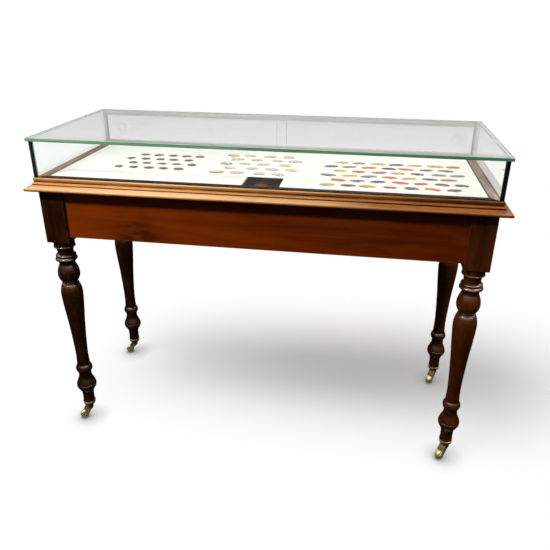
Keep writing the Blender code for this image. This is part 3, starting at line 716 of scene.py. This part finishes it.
def smooth(points, per_span):
    """A Catmull-Rom curve through the points."""
    padded = [points[0], *points, points[-1]]
    result = []
    for before, start, end, after in zip(padded, padded[1:], padded[2:], padded[3:]):
        for step in range(per_span):
            t = step / per_span
            terms = []
            for b, s, e, a in zip(before, start, end, after):
                square = 2 * b - 5 * s + 4 * e - a
                cube = 3 * s - b - 3 * e + a
                terms.append(0.5 * (2 * s + (e - b) * t + square * t * t + cube * t**3))
            result.append(tuple(terms))
    return result + [points[-1]]


def mirrored(profile):
    """The same (radius, height) points back up the other side of the middle."""
    return [(radius, -height) for radius, height in reversed(profile)]


def turned(shape, profile, place, sides=TURN_SIDES, closed=False, worn=None):
    """A turning about the local Z of a place, from (radius, height) points down its outer side."""
    wear_and_shading = layer(shape)
    rings = []
    for i, (radius, height) in enumerate(profile):
        ring = []
        for side in range(sides):
            point = shape.verts.new(place @ Vector((*polar(radius, 2 * math.pi * side / sides), height)))
            point[wear_and_shading] = worn[i] if worn else 0.0
            ring.append(point)
        rings.append(ring)
    skin(shape, rings + rings[:1] if closed else rings, capped=not closed)


def profile_wear(profile):
    """How far each point stands out from the turning around it, from GROOVE_GRIME in a groove to 1."""
    values = []
    for radius, height in profile:
        near = [r for r, h in profile if abs(h - height) < WEAR_REACH]
        values.append(max(GROOVE_GRIME, min(1.0, (radius - sum(near) / len(near)) / WEAR_FULL)))
    return values


# Turned legs


def bead(top, part, root_above, root_below, crown=0.5, count=9):
    """A ring or ball below a height: two parabolas that meet at its widest and end at the necks."""
    widest = top - part.high * crown
    points = []
    for step in range(-count, count + 1):
        share = step / count
        root = root_above if step < 0 else root_below
        reach = part.high * (crown if step < 0 else 1 - crown)
        points.append(((part.wide - (part.wide - root) * share**2) / 2, widest - reach * share))
    return points


def ogee(start, end, count=16):
    """An S-curve between two points, upright at both ends."""
    points = []
    for step in range(count + 1):
        share = step / count
        ease = (1 - math.cos(math.pi * share)) / 2
        points.append((start[0] + (end[0] - start[0]) * ease, start[1] + (end[1] - start[1]) * share))
    return points


def score(profile, height):
    """The same profile with a fine line cut into it at a height."""
    above = [point for point in profile if point[1] > height + SCORE_HALF]
    below = [point for point in profile if point[1] < height - SCORE_HALF]
    share = (above[-1][1] - height) / (above[-1][1] - below[0][1])
    radius = above[-1][0] + (below[0][0] - above[-1][0]) * share
    line = [(radius, height + SCORE_HALF), (radius - SCORE_DEPTH, height), (radius, height - SCORE_HALF)]
    return above + line + below


def leg_profile(top):
    """The turning as (radius, height above the foot), from under the block to the foot."""
    shoulder = SHOULDER.wide / 2
    neck = UPPER_NECK.wide / 2
    cove = top - SHOULDER.high - SHOULDER_COVE
    edge = top - SHOULDER.high + SHOULDER_ROUND
    points = [(shoulder - SHOULDER_LIP, top), (shoulder - SHOULDER_LIP, edge + SHOULDER_ROUND)]
    points += arc((shoulder - SHOULDER_ROUND, edge), SHOULDER_ROUND, SHOULDER_ROUND, 65, -90, 9)
    points += arc((points[-1][0], cove), neck - points[-1][0], SHOULDER_COVE, 90, 0, 10)[1:]
    ring = cove - UPPER_NECK.high
    quirk = UPPER_RING.wide - 2 * RING_QUIRK_DEPTH
    points += bead(ring, UPPER_RING, UPPER_NECK.wide, quirk)
    ring -= UPPER_RING.high
    points += bead(ring, LOWER_RING, quirk, RING_NECK.wide)[1:]
    ball = ring - LOWER_RING.high - RING_NECK.high
    points += bead(ball, BALL, RING_NECK.wide, BALL_NECK.wide, BALL_CROWN, 14)
    fillet = ball - BALL.high - BALL_NECK.high
    points.append((BALL_NECK.wide / 2, fillet))
    points += bead(fillet, FILLET, BALL_NECK.wide, FILLET.wide, count=5)[1:]
    bulb_top = BULB.high + ANKLE.high + FOOT.high
    vase_end = LOW_RING.high + LOW_NECK.high + bulb_top
    points += vase_profile(fillet - FILLET.high, vase_end)[1:]
    points += bead(vase_end, LOW_RING, VASE_END_DIAMETER, LOW_NECK.wide)[1:]
    bulb = (BULB.wide / 2, bulb_top - BULB.high * BULB_CROWN)
    points += ogee((LOW_NECK.wide / 2, bulb_top), bulb)
    points += ogee(bulb, (ANKLE.wide / 2, bulb_top - BULB.high))[1:]
    foot = FOOT.wide / 2
    points += smooth([(FOOT_NECK_DIAMETER / 2, FOOT.high), (foot, FOOT.high / 2), (foot, FOOT_ROUND)], 5)
    points.append((foot - FOOT_ROUND, 0.0))
    points = score(points, bulb[1] + BULB.high * BULB_SCORE)
    return score(points, fillet - FILLET.high)


def vase_profile(top, bottom):
    """The long tapering vase, from its fillet through its shoulder, belly and waist."""
    belly = VASE_DIAMETER - VASE_WAIST_DIAMETER
    points = [(FILLET.wide / 2, top)]
    for share, out in VASE_CURVE:
        points.append(((VASE_WAIST_DIAMETER + out * belly) / 2, top - (top - bottom) * share))
    points.append((VASE_END_DIAMETER / 2, bottom))
    return smooth(points, 6)


def square_point(angle, half, arris):
    """A point on a square with rounded corners, in the direction of an angle."""
    direction = polar(1.0, angle)
    point = direction * (half / max(abs(direction.x), abs(direction.y)))
    if min(abs(point.x), abs(point.y)) > half - arris:
        corner = Vector((math.copysign(half - arris, point.x), math.copysign(half - arris, point.y)))
        reach = corner.dot(direction)
        inside = reach * reach - corner.length_squared + arris * arris
        point = direction * (reach + math.sqrt(max(0.0, inside)))
    return point


def leg_angles():
    """Directions round a leg, closer together at the block's corners."""
    angles = [2 * math.pi * i / LEG_SIDES for i in range(LEG_SIDES)]
    for corner in range(4):
        middle = math.pi / 4 + corner * math.pi / 2
        angles += [middle + math.radians(turn) for turn in CORNER_TURNS]
    return sorted(angles)


def make_leg(corner):
    """A leg turned below its square block, with the block's corners worn unevenly."""
    node = "leg_" + corner
    low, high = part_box(node)
    axis = (low + high) / 2
    half = (high.x - low.x) / 2
    angles = leg_angles()
    shape = bmesh.new()
    wear_and_shading = layer(shape)

    def ring(height, place, value):
        points = []
        for angle in angles:
            across = place(angle)
            point = shape.verts.new((axis.x + across.x, axis.y + across.y, height))
            point[wear_and_shading] = value(angle)
            points.append(point)
        return points

    def block_ring(height, inset):
        def place(angle):
            quadrant = int(angle / (math.pi / 2))
            worn = noise.noise(Vector((height * 24, quadrant * 7.3, axis.x * 3 + axis.y)))
            return square_point(angle, half - inset, BLOCK_ARRIS + inset + BLOCK_WEAR * max(0.0, worn))

        def value(angle):
            from_corner = abs((angle % (math.pi / 2)) - math.pi / 4)
            return max(0.0, 1.0 - from_corner / math.radians(CORNER_REACH)) * CORNER_WEAR + FACE_WEAR

        return ring(height, place, value)

    top = high.z - BLOCK_SOFT
    bottom = high.z - BLOCK_LENGTH
    rings = [block_ring(high.z, BLOCK_SOFT), block_ring(top, 0.0)]
    for i in range(1, BLOCK_STATIONS):
        rings.append(block_ring(top - (BLOCK_LENGTH - 2 * BLOCK_SOFT) * i / BLOCK_STATIONS, 0.0))
    rings += [block_ring(bottom + BLOCK_SOFT, 0.0), block_ring(bottom, BLOCK_SOFT)]
    profile = leg_profile(bottom - low.z)
    for (radius, height), worn in zip(profile, profile_wear(profile)):
        rings.append(ring(low.z + height, lambda angle: polar(radius, angle), lambda angle: worn))
    skin(shape, rings)
    add_piece("turned_" + node, shape, [LEG_WOOD[corner.split("_")[1]]], node=node)


# Aprons


def soft_section(low, high, soft):
    """A rectangle as (across, up, wear) with rounded, worn corners."""
    points = []
    for start, right, top in ((0, 1, 1), (90, -1, 1), (180, -1, -1), (270, 1, -1)):
        across = high[0] if right > 0 else low[0]
        up = high[1] if top > 0 else low[1]
        bend = arc((across - right * soft, up - top * soft), soft, soft, start, start + 90, 4)
        ends = [(across, up - top * APRON_EDGE), (across - right * APRON_EDGE, up)]
        before, after = ends if right == top else reversed(ends)
        points += [(*before, 0.0), *((*point, APRON_WEAR) for point in bend), (*after, 0.0)]
    return points


def make_apron(side):
    """A board between two leg blocks, hardly out of true, with its edges worn, painted light toward its first
    end, and a painted dark reflection near the foot of the front one.
    """
    node = "apron_" + side
    low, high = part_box(node)
    long_side = side in ("front", "back")
    run = 0 if long_side else 1
    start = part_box("leg_front_left")[1][run] + GAP
    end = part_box("leg_front_right" if long_side else "leg_back_left")[0][run] - GAP
    section = soft_section((low[1 - run], low.z), (high[1 - run], high.z), APRON_SOFT)
    shape = bmesh.new()
    wear_and_shading = layer(shape)
    painted_light = layer(shape, "painted_light")
    count = round((end - start) / APRON_STEP)
    rings = []
    for station in range(count + 1):
        reach = start + (end - start) * station / count
        ring = []
        for across, up, value in section:
            sway = APRON_WOBBLE * noise.noise(Vector((reach * 7, across * 30, up * 25)))
            point = shape.verts.new((reach, across + sway, up) if long_side else (across + sway, reach, up))
            point[wear_and_shading] = value
            # Painted light, paler toward the first end
            point[painted_light] = APRON_PAINTED_LIGHT * (1 - station / count) ** 5
            # The painted dark reflection at the foot of the front apron
            if side == "front" and up < (low.z + high.z) / 2:
                middle, width, depth = APRON_REFLECTION
                point[wear_and_shading] -= depth * math.exp(-(((reach - middle) / width) ** 2))
            ring.append(point)
        rings.append(ring)
    skin(shape, rings)
    add_piece("apron_board_" + side, shape, [APRON_WOOD["X" if long_side else "Y"]], node=node)


# Moulded frame


def mould_profile(overhang, height, groove_width, pane, board):
    """The section as (outward, up, wear with painted shade, share of the painted sheen), anticlockwise from
    the rebate for the boards.
    """
    edge = overhang - MOULD_RUN
    glass = edge - PANE_INSET
    opening = glass - pane - LEDGE_WIDTH
    nose = overhang - NOSE_RADIUS
    cove_end = edge + COVE_RUN
    middle = height - ROLL_HEIGHT - COVE_HEIGHT - BEAD_RADIUS
    quirk = middle - BEAD_RADIUS - QUIRK_HEIGHT
    rebate = height - board - GAP
    groove = height - GROOVE_DEPTH
    inner = glass - groove_width - GAP
    lip = opening - REBATE_WIDTH
    ledge, slope, drop = LEDGE_EDGE
    cove = arc((cove_end, middle + BEAD_RADIUS + COVE_HEIGHT), -COVE_RUN, COVE_HEIGHT, -90, 0, 10)
    roll = arc((edge, height - ROLL_HEIGHT / 2), ROLL_SWELL, ROLL_HEIGHT / 2, -90, 90, 12)

    def round_nose(start, end, count):
        return arc((nose, NOSE_RADIUS), NOSE_RADIUS, NOSE_RADIUS, start, end, count)

    # Painted shade darkens the nose's underside, the roll's foot, the upper cove under the roll, the quirk
    # and the ledge's inner edge; rubbed crowns are also painted highlight
    parts = [
        ([(lip, rebate), (lip, 0.0), (nose - MOULD_FLAT, 0.0)], -0.2, 0.0),
        (round_nose(-90, -20, 6), -0.6, 0.0),
        (round_nose(-10, 30, 4), -0.05, 0.20),
        (round_nose(40, 90, 5), 0.50, 0.80),
        (arc((nose, quirk), cove_end - nose, quirk - 2 * NOSE_RADIUS, -90, 0, 12)[1:], 0.20, 0.80),
        ([(cove_end - QUIRK_DEPTH, quirk), (cove_end - QUIRK_DEPTH, quirk + QUIRK_HEIGHT)], -1.0, 0.0),
        (arc((cove_end, middle), BEAD_RADIUS, BEAD_RADIUS, -90, 90, 8)[1:], 0.46, 0.40),
        (cove[1:7], 0.0, 0.12),
        (cove[7:], -0.75, 0.0),
        (roll[1:4], -0.45, 0.0),
        (roll[4:8], 0.10, 0.20),
        (roll[8:], 0.75, 1.0),
        ([(glass + GAP, height), (glass + GAP, groove)], -0.4, 0.0),
        ([(inner, groove), (inner, height), (opening + ledge, height)], LEDGE_MARK, 0.0),
        ([(opening + slope, height), (opening, height - drop), (opening, rebate)], LEDGE_SHADE, 0.0),
    ]
    return [(out, up, value, shine) for points, value, shine in parts for out, up in points]


def between(table, share):
    """The values beside a share in a table of rows that start with one, drawn straight between the rows."""
    for first, last in zip(table, table[1:]):
        if share <= last[0]:
            break
    part = (share - first[0]) / (last[0] - first[0])
    return [a + (b - a) * part for a, b in zip(first[1:], last[1:])]


def make_moulding(name, degrees):
    """One mitred side of the frame, very slightly out of true along its length, with painted light along it
    and painted shade in its hollows.
    """
    node = "moulding_" + name
    low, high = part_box(node)
    long_side = name in ("front", "back")
    leg_low, leg_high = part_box("leg_front_right")
    half_length, half_out = leg_high.x, -leg_low.y
    overhang = max(-low.x, high.x) - leg_high.x
    if not long_side:
        half_length, half_out = half_out, half_length
        overhang = high.y + leg_low.y
    pane = thickness("glass_front", 1)
    groove_width = thickness("lower_track", 1) if name == "back" else pane
    section = mould_profile(overhang, high.z - low.z, groove_width, pane, thickness("display_board_left", 2))
    turn = spin(degrees)
    shape = bmesh.new()
    wear_and_shading = layer(shape)
    painted_light = layer(shape, "painted_light")
    gold_light = layer(shape, "gold_light")
    count = round(2 * half_length / MOULD_STEP)
    rings = []
    for station in range(count + 1):
        share = 2 * station / count - 1
        sheen_share, gold_share = between(MOULD_PAINTED_LIGHT[name], share)
        ring = []
        for out, up, value, shine in section:
            reach = share * (half_length + out - GAP)
            shift = 0.0
            if value > LEDGE_MARK:
                shift = MOULD_WOBBLE * noise.noise(Vector((reach * 9, out * 60, up * 60 + degrees)))
            if value > NICKED_WEAR and abs(share) < 1:
                nick = noise.noise(Vector((reach * 70, up * 90, degrees * 3.1)))
                shift -= NICK_DEPTH * max(0.0, nick - NICK_START) / NICK_START
            point = shape.verts.new(turn @ Vector((reach, -(half_out + out + shift), low.z + up)))
            # Rubbed crowns are paler where the painted sheen is, as painted highlight
            point[wear_and_shading] = value * (0.35 + 0.65 * sheen_share) if value > 0 else value
            point[painted_light] = sheen_share * shine
            point[gold_light] = 0.0 if value == LEDGE_MARK else gold_share
            ring.append(point)
        rings.append(ring)
    skin(shape, rings)
    grain = "X" if long_side else "Y"
    ledge = DARK_LEDGE if name == "front" else LEDGE_WOOD[grain]
    for face in shape.faces:
        marks = {round(point[wear_and_shading], 2) for point in face.verts}
        if marks <= {LEDGE_MARK, LEDGE_SHADE}:
            face.material_index = 1
    add_piece("moulded_frame_" + name, shape, [MOULD_WOOD[grain], ledge], node=node, sharp=40.0)


# Glass and seals


def make_pane(node, name, flat_axis, body="table"):
    """A slab with ground edges. Faces across the thin axis are clear and the edges green."""
    low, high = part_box(node)
    arris = TOP_ARRIS if node == "glass_top" else PANE_ARRIS
    shape = bmesh.new()
    bmesh.ops.create_cube(shape, size=1.0)
    bmesh.ops.scale(shape, vec=high - low, verts=shape.verts)
    bmesh.ops.translate(shape, vec=(low + high) / 2, verts=shape.verts)
    bmesh.ops.bevel(shape, geom=shape.edges[:], offset=arris, segments=2, profile=0.5, affect="EDGES")
    for face in shape.faces:
        face.normal_update()
        face.material_index = 0 if abs(face.normal[flat_axis]) > 0.99 else 1
    add_piece(name, shape, [CLEAR_GLASS, GLASS_EDGE], body, node, 20.0)


def seal_section(lap_front, lap_side, side):
    """The seal as (along the front pane, along the side pane) from the outer corner, with lips on both."""
    lip = SEAL_LIP
    edge = side + lap_front
    far = side + lap_side
    bend = side - SEAL_ROUND
    points = [(lip, -lip), (edge - lip, -lip), (edge, -SEAL_FILM), (side, -SEAL_FILM)]
    points += arc((bend, bend), SEAL_ROUND, SEAL_ROUND, 0, 90, 3)
    points += [(-SEAL_FILM, side), (-SEAL_FILM, far)]
    return points + [(-lip, far - lip), (-lip, lip), (-lip * 0.7, -lip * 0.7)]


def make_seal(side):
    """A bead of sealant run down the corner by hand, with wavering edges."""
    node = "corner_seal_" + side
    low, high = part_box(node)
    sign = -1 if side == "left" else 1
    outer = low.x if side == "left" else high.x
    shape = bmesh.new()

    def lap(height, seed):
        waver = noise.noise(Vector((height * SEAL_WAVES, sign * 3.0, seed)))
        return max(SEAL_LEAST, SEAL_LAP[side] * (1 + SEAL_WAVER * waver))

    rings = []
    for station in range(SEAL_STATIONS + 1):
        height = low.z + (high.z - low.z) * station / SEAL_STATIONS
        section = seal_section(lap(height, 0.0), lap(height, 9.0), high.x - low.x)
        rings.append([shape.verts.new((outer - sign * u, low.y + v, height)) for u, v in section])
    skin(shape, rings)
    add_piece("sealant_" + side, shape, [SEALANT[side]], node=node, sharp=60.0)


# Castors


def castor_frame(corner):
    """A castor's swivel axis on the floor, turned to its heading, its trail and its axle's height."""
    pivot = Vector(JOINTS["swivel_" + corner]["pos_m"])
    hub = Vector(JOINTS["spin_" + corner]["pos_m"])
    reach = (hub - pivot).xy
    heading = Matrix.Rotation(math.atan2(reach.y, reach.x), 4, "Z")
    return Matrix.Translation((pivot.x, pivot.y, 0.0)) @ heading, reach.length, hub.z


def slotted_screw(shape, place):
    """A screw head as two half discs, with the slot between them."""
    for start in (0, 180):
        offset = place @ spin(start) @ Matrix.Translation((0.0, SCREW_SLOT / 2, 0.0))
        rings = []
        for share, height in ((1.0, 0.0), (1.0, SCREW_DOME / 2), (0.8, SCREW_DOME)):
            outline = arc((0.0, 0.0), SCREW_RADIUS * share, SCREW_RADIUS * share, 0, 180, 10)
            rings.append([shape.verts.new(offset @ Vector((x, y, height))) for x, y in outline])
        skin(shape, rings)


def make_plate(corner):
    """The plate under the foot: a cup with a beaded rim, three screws, and the pintle riveted below."""
    node = "castor_plate_" + corner
    low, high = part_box(node)
    place, _, _ = castor_frame(corner)
    radius = (high.x - low.x) / 2
    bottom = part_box("castor_fork_" + corner)[1].z + GAP
    wall = FOOT.wide / 2 + CUP_GAP
    rim = high.z + CUP_HEIGHT
    profile = [(wall, high.z), (wall, rim)]
    profile += arc((wall + CUP_WALL, rim - PLATE_BEAD), CUP_WALL, PLATE_BEAD, 90, -90, 8)[1:]
    worn = [CUP_WEAR] * len(profile)
    profile += [
        (wall + CUP_WALL, high.z + PLATE_STEP),
        (radius + PLATE_SWELL, high.z - PLATE_STEP),
        (radius, bottom + PLATE_EDGE),
        (radius - PLATE_STEP, bottom),
        (PINTLE_RADIUS + PINTLE_COLLAR, bottom),
        (PINTLE_RADIUS, bottom - PINTLE_COLLAR / 2),
    ]
    profile += [(PINTLE_RADIUS + out, low.z + up) for out, up in PINTLE_HEAD]
    worn += [PLATE_GRIME] * (len(profile) - len(worn))
    shape = bmesh.new()
    turned(shape, profile, place, worn=worn)
    for turn in SCREW_TURNS:
        spot = spin(turn) @ Matrix.Translation((radius - SCREW_INSET, 0.0, bottom))
        slotted_screw(shape, place @ spot @ spin(180, "X"))
    add_piece("turned_plate_" + corner, shape, [FORK_BRASS], node=node)


def loose_object(name, shape):
    """A bmesh as an object in the scene, for use in a boolean."""
    bmesh.ops.recalc_face_normals(shape, faces=shape.faces)
    return to_object(name, shape)


def fork_mesh(corner):
    """A cast fork about the swivel's axis: a flared neck and two cheeks that trail to the axle."""
    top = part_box("castor_fork_" + corner)[1].z
    _, trail, hub = castor_frame(corner)
    radius = thickness("castor_wheel_" + corner, 2) / 2 + WHEEL_ROOM
    upright = Matrix.Identity(4)
    across = Matrix.Translation((trail, 0.0, hub)) @ spin(90, "X")

    def below_top(points):
        return [(out, top - depth) for out, depth in points]

    shape = bmesh.new()
    turned(shape, smooth(below_top(FORK_HEAD + FORK_NECK), 4), upright)
    fork = loose_object("fork", shape)
    outline = smooth(below_top(FORK_HEEL), 4)
    outline += arc((trail, hub), BOSS_RADIUS, BOSS_RADIUS, *BOSS_ARC, 14)
    outline += smooth([(FORK_TOE[0], hub + FORK_TOE[1]), *below_top(FORK_BROW)], 4)
    shape = bmesh.new()
    skin(shape, [[shape.verts.new((x, y, z)) for x, z in outline] for y in (-FORK_HALF, FORK_HALF)])
    arm = loose_object("arm", shape)
    shape = bmesh.new()
    turned(shape, [(radius, SLOT_HALF), (radius, -SLOT_HALF)], across, WHEEL_SIDES)
    slot = loose_object("slot", shape)
    shape = bmesh.new()
    turned(shape, [(AXLE_BORE, BORE_HALF), (AXLE_BORE, -BORE_HALF)], across, BORE_SIDES)
    turned(shape, [(PINTLE_BORE, top + BORE_EXTRA), (PINTLE_BORE, -BORE_EXTRA)], upright, BORE_SIDES)
    bores = loose_object("bores", shape)
    for other, operation in ((arm, "UNION"), (slot, "DIFFERENCE"), (bores, "DIFFERENCE")):
        boolean = fork.modifiers.new(operation, "BOOLEAN")
        boolean.operation = operation
        boolean.object = other
    mesh = bpy.data.meshes.new_from_object(fork.evaluated_get(bpy.context.evaluated_depsgraph_get()))
    for obj in (fork, arm, slot, bores):
        bpy.data.objects.remove(obj, do_unlink=True)
    return mesh


def make_fork(corner):
    """The fork at its heading, bright below where hands and feet rub it and dull at its neck."""
    place, _, hub = castor_frame(corner)
    shape = bmesh.new()
    shape.from_mesh(fork_mesh(corner))
    wear_and_shading = layer(shape)
    for point in shape.verts:
        point[wear_and_shading] = FORK_WEAR if point.co.z < 2 * hub else NECK_GRIME
    bmesh.ops.transform(shape, matrix=place, verts=shape.verts)
    name = "cast_fork_" + corner
    fork = add_piece(name, shape, [FORK_BRASS], "castor_" + corner, "castor_fork_" + corner)
    round_edges(fork, FORK_SOFT)


def make_wheel(corner):
    """The crowned wheel, turned with a hub at each side, and the axle with its domed ends."""
    place, trail, rim = castor_frame(corner)
    lie = place @ Matrix.Translation((trail, 0.0, rim)) @ spin(90, "X")
    face = [*WHEEL_FACE, (rim - WHEEL_LIP[0], WHEEL_LIP[1])]
    profile = [(WHEEL_BORE, WHEEL_HALF), *smooth([(radius, WHEEL_HALF - sunk) for radius, sunk in face], 3)]
    profile += arc((rim - WHEEL_CROWN, 0.0), WHEEL_CROWN, WHEEL_HALF - WHEEL_EASE, 76, 0, 8)
    profile += mirrored(profile[:-1])
    worn = [TREAD_WEAR if radius > TREAD_START else HUB_WEAR for radius, _ in profile]
    shape = bmesh.new()
    turned(shape, profile, lie, WHEEL_SIDES, closed=True, worn=worn)
    name = "turned_wheel_" + corner
    add_piece(name, shape, [WHEEL_BRASS], "wheel_" + corner, "castor_wheel_" + corner)
    cap = [(radius, FORK_HALF + GAP + out) for radius, out in AXLE_END]
    shape = bmesh.new()
    turned(shape, cap + mirrored(cap), lie, BORE_SIDES)
    name = "axle_pin_" + corner
    add_piece(name, shape, [FORK_BRASS], "castor_" + corner, "castor_axle_" + corner)


# Tokens on the boards


def make_tokens(name, enamels, board, spot, counts, pitch, size):
    """Small domed ovals with a thin metal rim, in staggered rows on a board."""
    chooser = random.Random(name)
    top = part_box(board)[1].z
    shape = bmesh.new()
    for row in range(counts[1]):
        for column in range(counts[0]):
            shift = 0.5 * (row % 2) + chooser.uniform(-TOKEN_STRAY, TOKEN_STRAY)
            place = Matrix.Translation((spot[0] + (column + shift) * pitch[0], spot[1] + row * pitch[1], top))
            place = place @ spin(chooser.uniform(-TOKEN_TURN, TOKEN_TURN))
            half = [part / 2 * chooser.uniform(*TOKEN_GROWTH) for part in size]
            rings = []
            for share, height in TOKEN_SECTION:
                outline = arc((0.0, 0.0), half[0] * share, half[1] * share, 0, 360, TOKEN_SIDES)[:-1]
                rings.append([shape.verts.new(place @ Vector((x, y, height))) for x, y in outline])
            before = len(shape.faces)
            skin(shape, rings)
            shape.faces.ensure_lookup_table()
            colour = 1 + chooser.randrange(len(enamels))
            for i in range(before + TOKEN_RIM * TOKEN_SIDES, len(shape.faces)):
                shape.faces[i].material_index = colour
    add_piece(name, shape, [FORK_BRASS, *enamels], sharp=50.0)


# Camera, lights and stage


def make_camera():
    data = bpy.data.cameras.new("camera")
    data.lens = CAMERA_LENS
    data.sensor_fit = "HORIZONTAL"
    data.sensor_width = CAMERA_SENSOR
    data.shift_x, data.shift_y = CAMERA_SHIFT
    data.clip_start = CAMERA_CLIP
    camera = link(bpy.data.objects.new("camera", data))
    turn = spin(CAMERA_YAW) @ spin(CAMERA_PITCH, "X") @ spin(CAMERA_ROLL, "Y") @ spin(90, "X")
    camera.matrix_world = Matrix.Translation(CAMERA_PLACE) @ turn
    bpy.context.scene.camera = camera


def make_lamp(name, place, aim, size, power, colour):
    data = bpy.data.lights.new(name, "AREA")
    data.shape = "DISK"
    data.size = size
    data.energy = power
    data.color = colour
    lamp = link(bpy.data.objects.new(name, data))
    lamp.location = place
    lamp.rotation_euler = (Vector(aim) - Vector(place)).to_track_quat("-Z", "Y").to_euler()
    lamp.visible_transmission = False
    return lamp


def floor_finish():
    """A pale floor that keeps soft shadows, with a contact shadow painted close to the castors, and fades
    into the white round it.
    """
    made = Finish("pale_floor")
    matt = made.out("BsdfDiffuse", {"Color": grey(FLOOR_GAIN)})
    dull = made.out("BsdfDiffuse", {"Color": grey(FLOOR_BOUNCE)})
    near = made.out("AddShader", {0: matt, 1: made.glow(FLOOR_GLOW)})
    patch = {"Location": FADE_CENTRE, "Rotation": (0.0, 0.0, FADE_TURN), "Scale": FADE_HALF}
    offset = made.out("Mapping", {"Vector": made.where(), **patch}, vector_type="TEXTURE")
    distance = made.out("VectorMath", {0: offset}, "Value", operation="LENGTH")
    shown = made.mix_shaders(made.step(distance, FADE_START, FADE_END), near, made.glow(1.0))
    # The contact shadow painted close to the castors, darker where they shut out the floor's view
    around = {"Distance": CONTACT_REACH, "Normal": Vector(CONTACT_WAY).normalized()}
    open_share = made.out("AmbientOcclusion", around, "AO", samples=CONTACT_SAMPLES)
    contact = made.times(made.maths("SUBTRACT", 1.0, open_share), CONTACT_DEPTH, clamp=True)
    shown = made.mix_shaders(contact, shown, made.glow(CONTACT_LEVEL))
    path = made.node("LightPath").outputs
    seen = made.maths("ADD", path["Is Glossy Ray"], path["Is Transmission Ray"])
    seen = made.maths("ADD", path["Is Camera Ray"], seen, clamp=True)
    seen = made.maths("SUBTRACT", seen, path["Diffuse Depth"], clamp=True)
    return made.finish(made.mix_shaders(seen, dull, shown))


def surround_finish():
    """Glowing cloths round the set that only gloss shows, painted reflections dark low down that turn to
    white higher up.
    """
    made = Finish("dark_surround")
    height = made.out("SeparateXYZ", {"Vector": made.where()}, "Z")
    share = made.maths("DIVIDE", height, SURROUND_HEIGHT)
    strength = made.scaled(made.step(share, SURROUND_BRIGHT, 1.0), CEILING_LEVEL - 1, 1.0)
    return made.finish(made.glow(strength, made.ramp(share, SURROUND_STOPS)))


def make_stage():
    """The floor, which is returned, and the surround that only gloss shows."""
    shape = bmesh.new()
    bmesh.ops.create_grid(shape, x_segments=1, y_segments=1, size=FLOOR_HALF)
    floor = to_object("floor", shape, [floor_finish()])
    floor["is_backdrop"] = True
    shape = bmesh.new()
    outline = arc((0.0, 0.0), SURROUND_RADIUS, SURROUND_RADIUS, 0, 360, SURROUND_SIDES)[:-1]
    rings = [[shape.verts.new((x, y, z)) for x, y in outline] for z in (SURROUND_LIFT, SURROUND_HEIGHT)]
    skin(shape, rings, capped=False)
    shape.faces.new(rings[0])
    surround = to_object("surround", shape, [surround_finish()])
    surround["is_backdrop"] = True
    for ray in ("camera", "diffuse", "transmission", "volume_scatter", "shadow"):
        setattr(surround, "visible_" + ray, False)
    return floor


def keep_off(obj, lamps):
    """Lamps that light everything but one object."""
    unlit = bpy.data.collections.new("without_lamps")
    unlit.objects.link(obj)
    unlit.collection_objects[0].light_linking.link_state = "EXCLUDE"
    for lamp in lamps:
        lamp.light_linking.receiver_collection = unlit


def make_world():
    """A dim sky that looks white wherever it is seen, and brighter in gloss, as a lit ceiling is."""
    made = Finish("studio", "worlds")
    path = made.node("LightPath").outputs
    seen = made.maths("ADD", path["Is Camera Ray"], path["Is Transmission Ray"])
    seen = made.maths("SUBTRACT", seen, path["Diffuse Depth"])
    reflected = made.times(path["Is Glossy Ray"], path["Is Reflection Ray"])
    level = made.larger(seen, made.times(reflected, CEILING_LEVEL))
    sky = made.out("Background", {"Color": grey(1.0), "Strength": made.larger(level, SKY_LEVEL)})
    bpy.context.scene.world = made.finish(sky, "OutputWorld")


make_camera()
lamps = {name: make_lamp(name, *settings) for name, settings in LAMPS.items()}
lamps["back"].visible_glossy = False
keep_off(make_stage(), (lamps["key"], lamps["fill"], lamps["back"]))
make_world()

for side, degrees in (("front", 0), ("right", 90), ("back", 180), ("left", 270)):
    make_apron(side)
    make_moulding(side, degrees)
for corner in CORNERS:
    make_leg(corner)
    dress("corner_brace_" + corner, PLAIN_WOOD["X"])
    make_plate(corner)
    make_fork(corner)
    make_wheel(corner)
for node, axis in (("base_board", "X"), ("ledger_left", "Y"), ("ledger_right", "Y"), ("cross_rail", "Y")):
    dress(node, PLAIN_WOOD[axis])
dress("well_batten", MOULD_WOOD["Y"])
dress("display_board_left", WHITE_CARD, BOARD_SOFT)
dress("display_board_right", CREAM_CARD, BOARD_SOFT)
dress("display_card_middle", WHITE_CARD, THIN_SOFT)
for side, axis in (("front", 1), ("left", 0), ("right", 0), ("top", 2)):
    make_pane("glass_" + side, side + "_pane", axis)
for side in ("left", "right"):
    make_pane("sliding_door_" + side, side + "_door_pane", 1, side + "_door")
for kind, layout in TOKENS.items():
    make_tokens(kind + "_tokens", ENAMELS[kind], *layout)
for side in ("left", "right"):
    make_seal(side)
    dress("door_jamb_" + side, ALUMINIUM, BOARD_SOFT)
    dress("finger_pull_" + side, CLEAR_GLASS, THIN_SOFT)
dress("lower_track", ALUMINIUM, THIN_SOFT)
dress("upper_track", ALUMINIUM, THIN_SOFT)

bpy.context.scene.view_settings.view_transform = "Standard"

boxes = {"cad": CAD_BOX, "visual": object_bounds()}
{name: [list(corner) for corner in box] for name, box in boxes.items()}
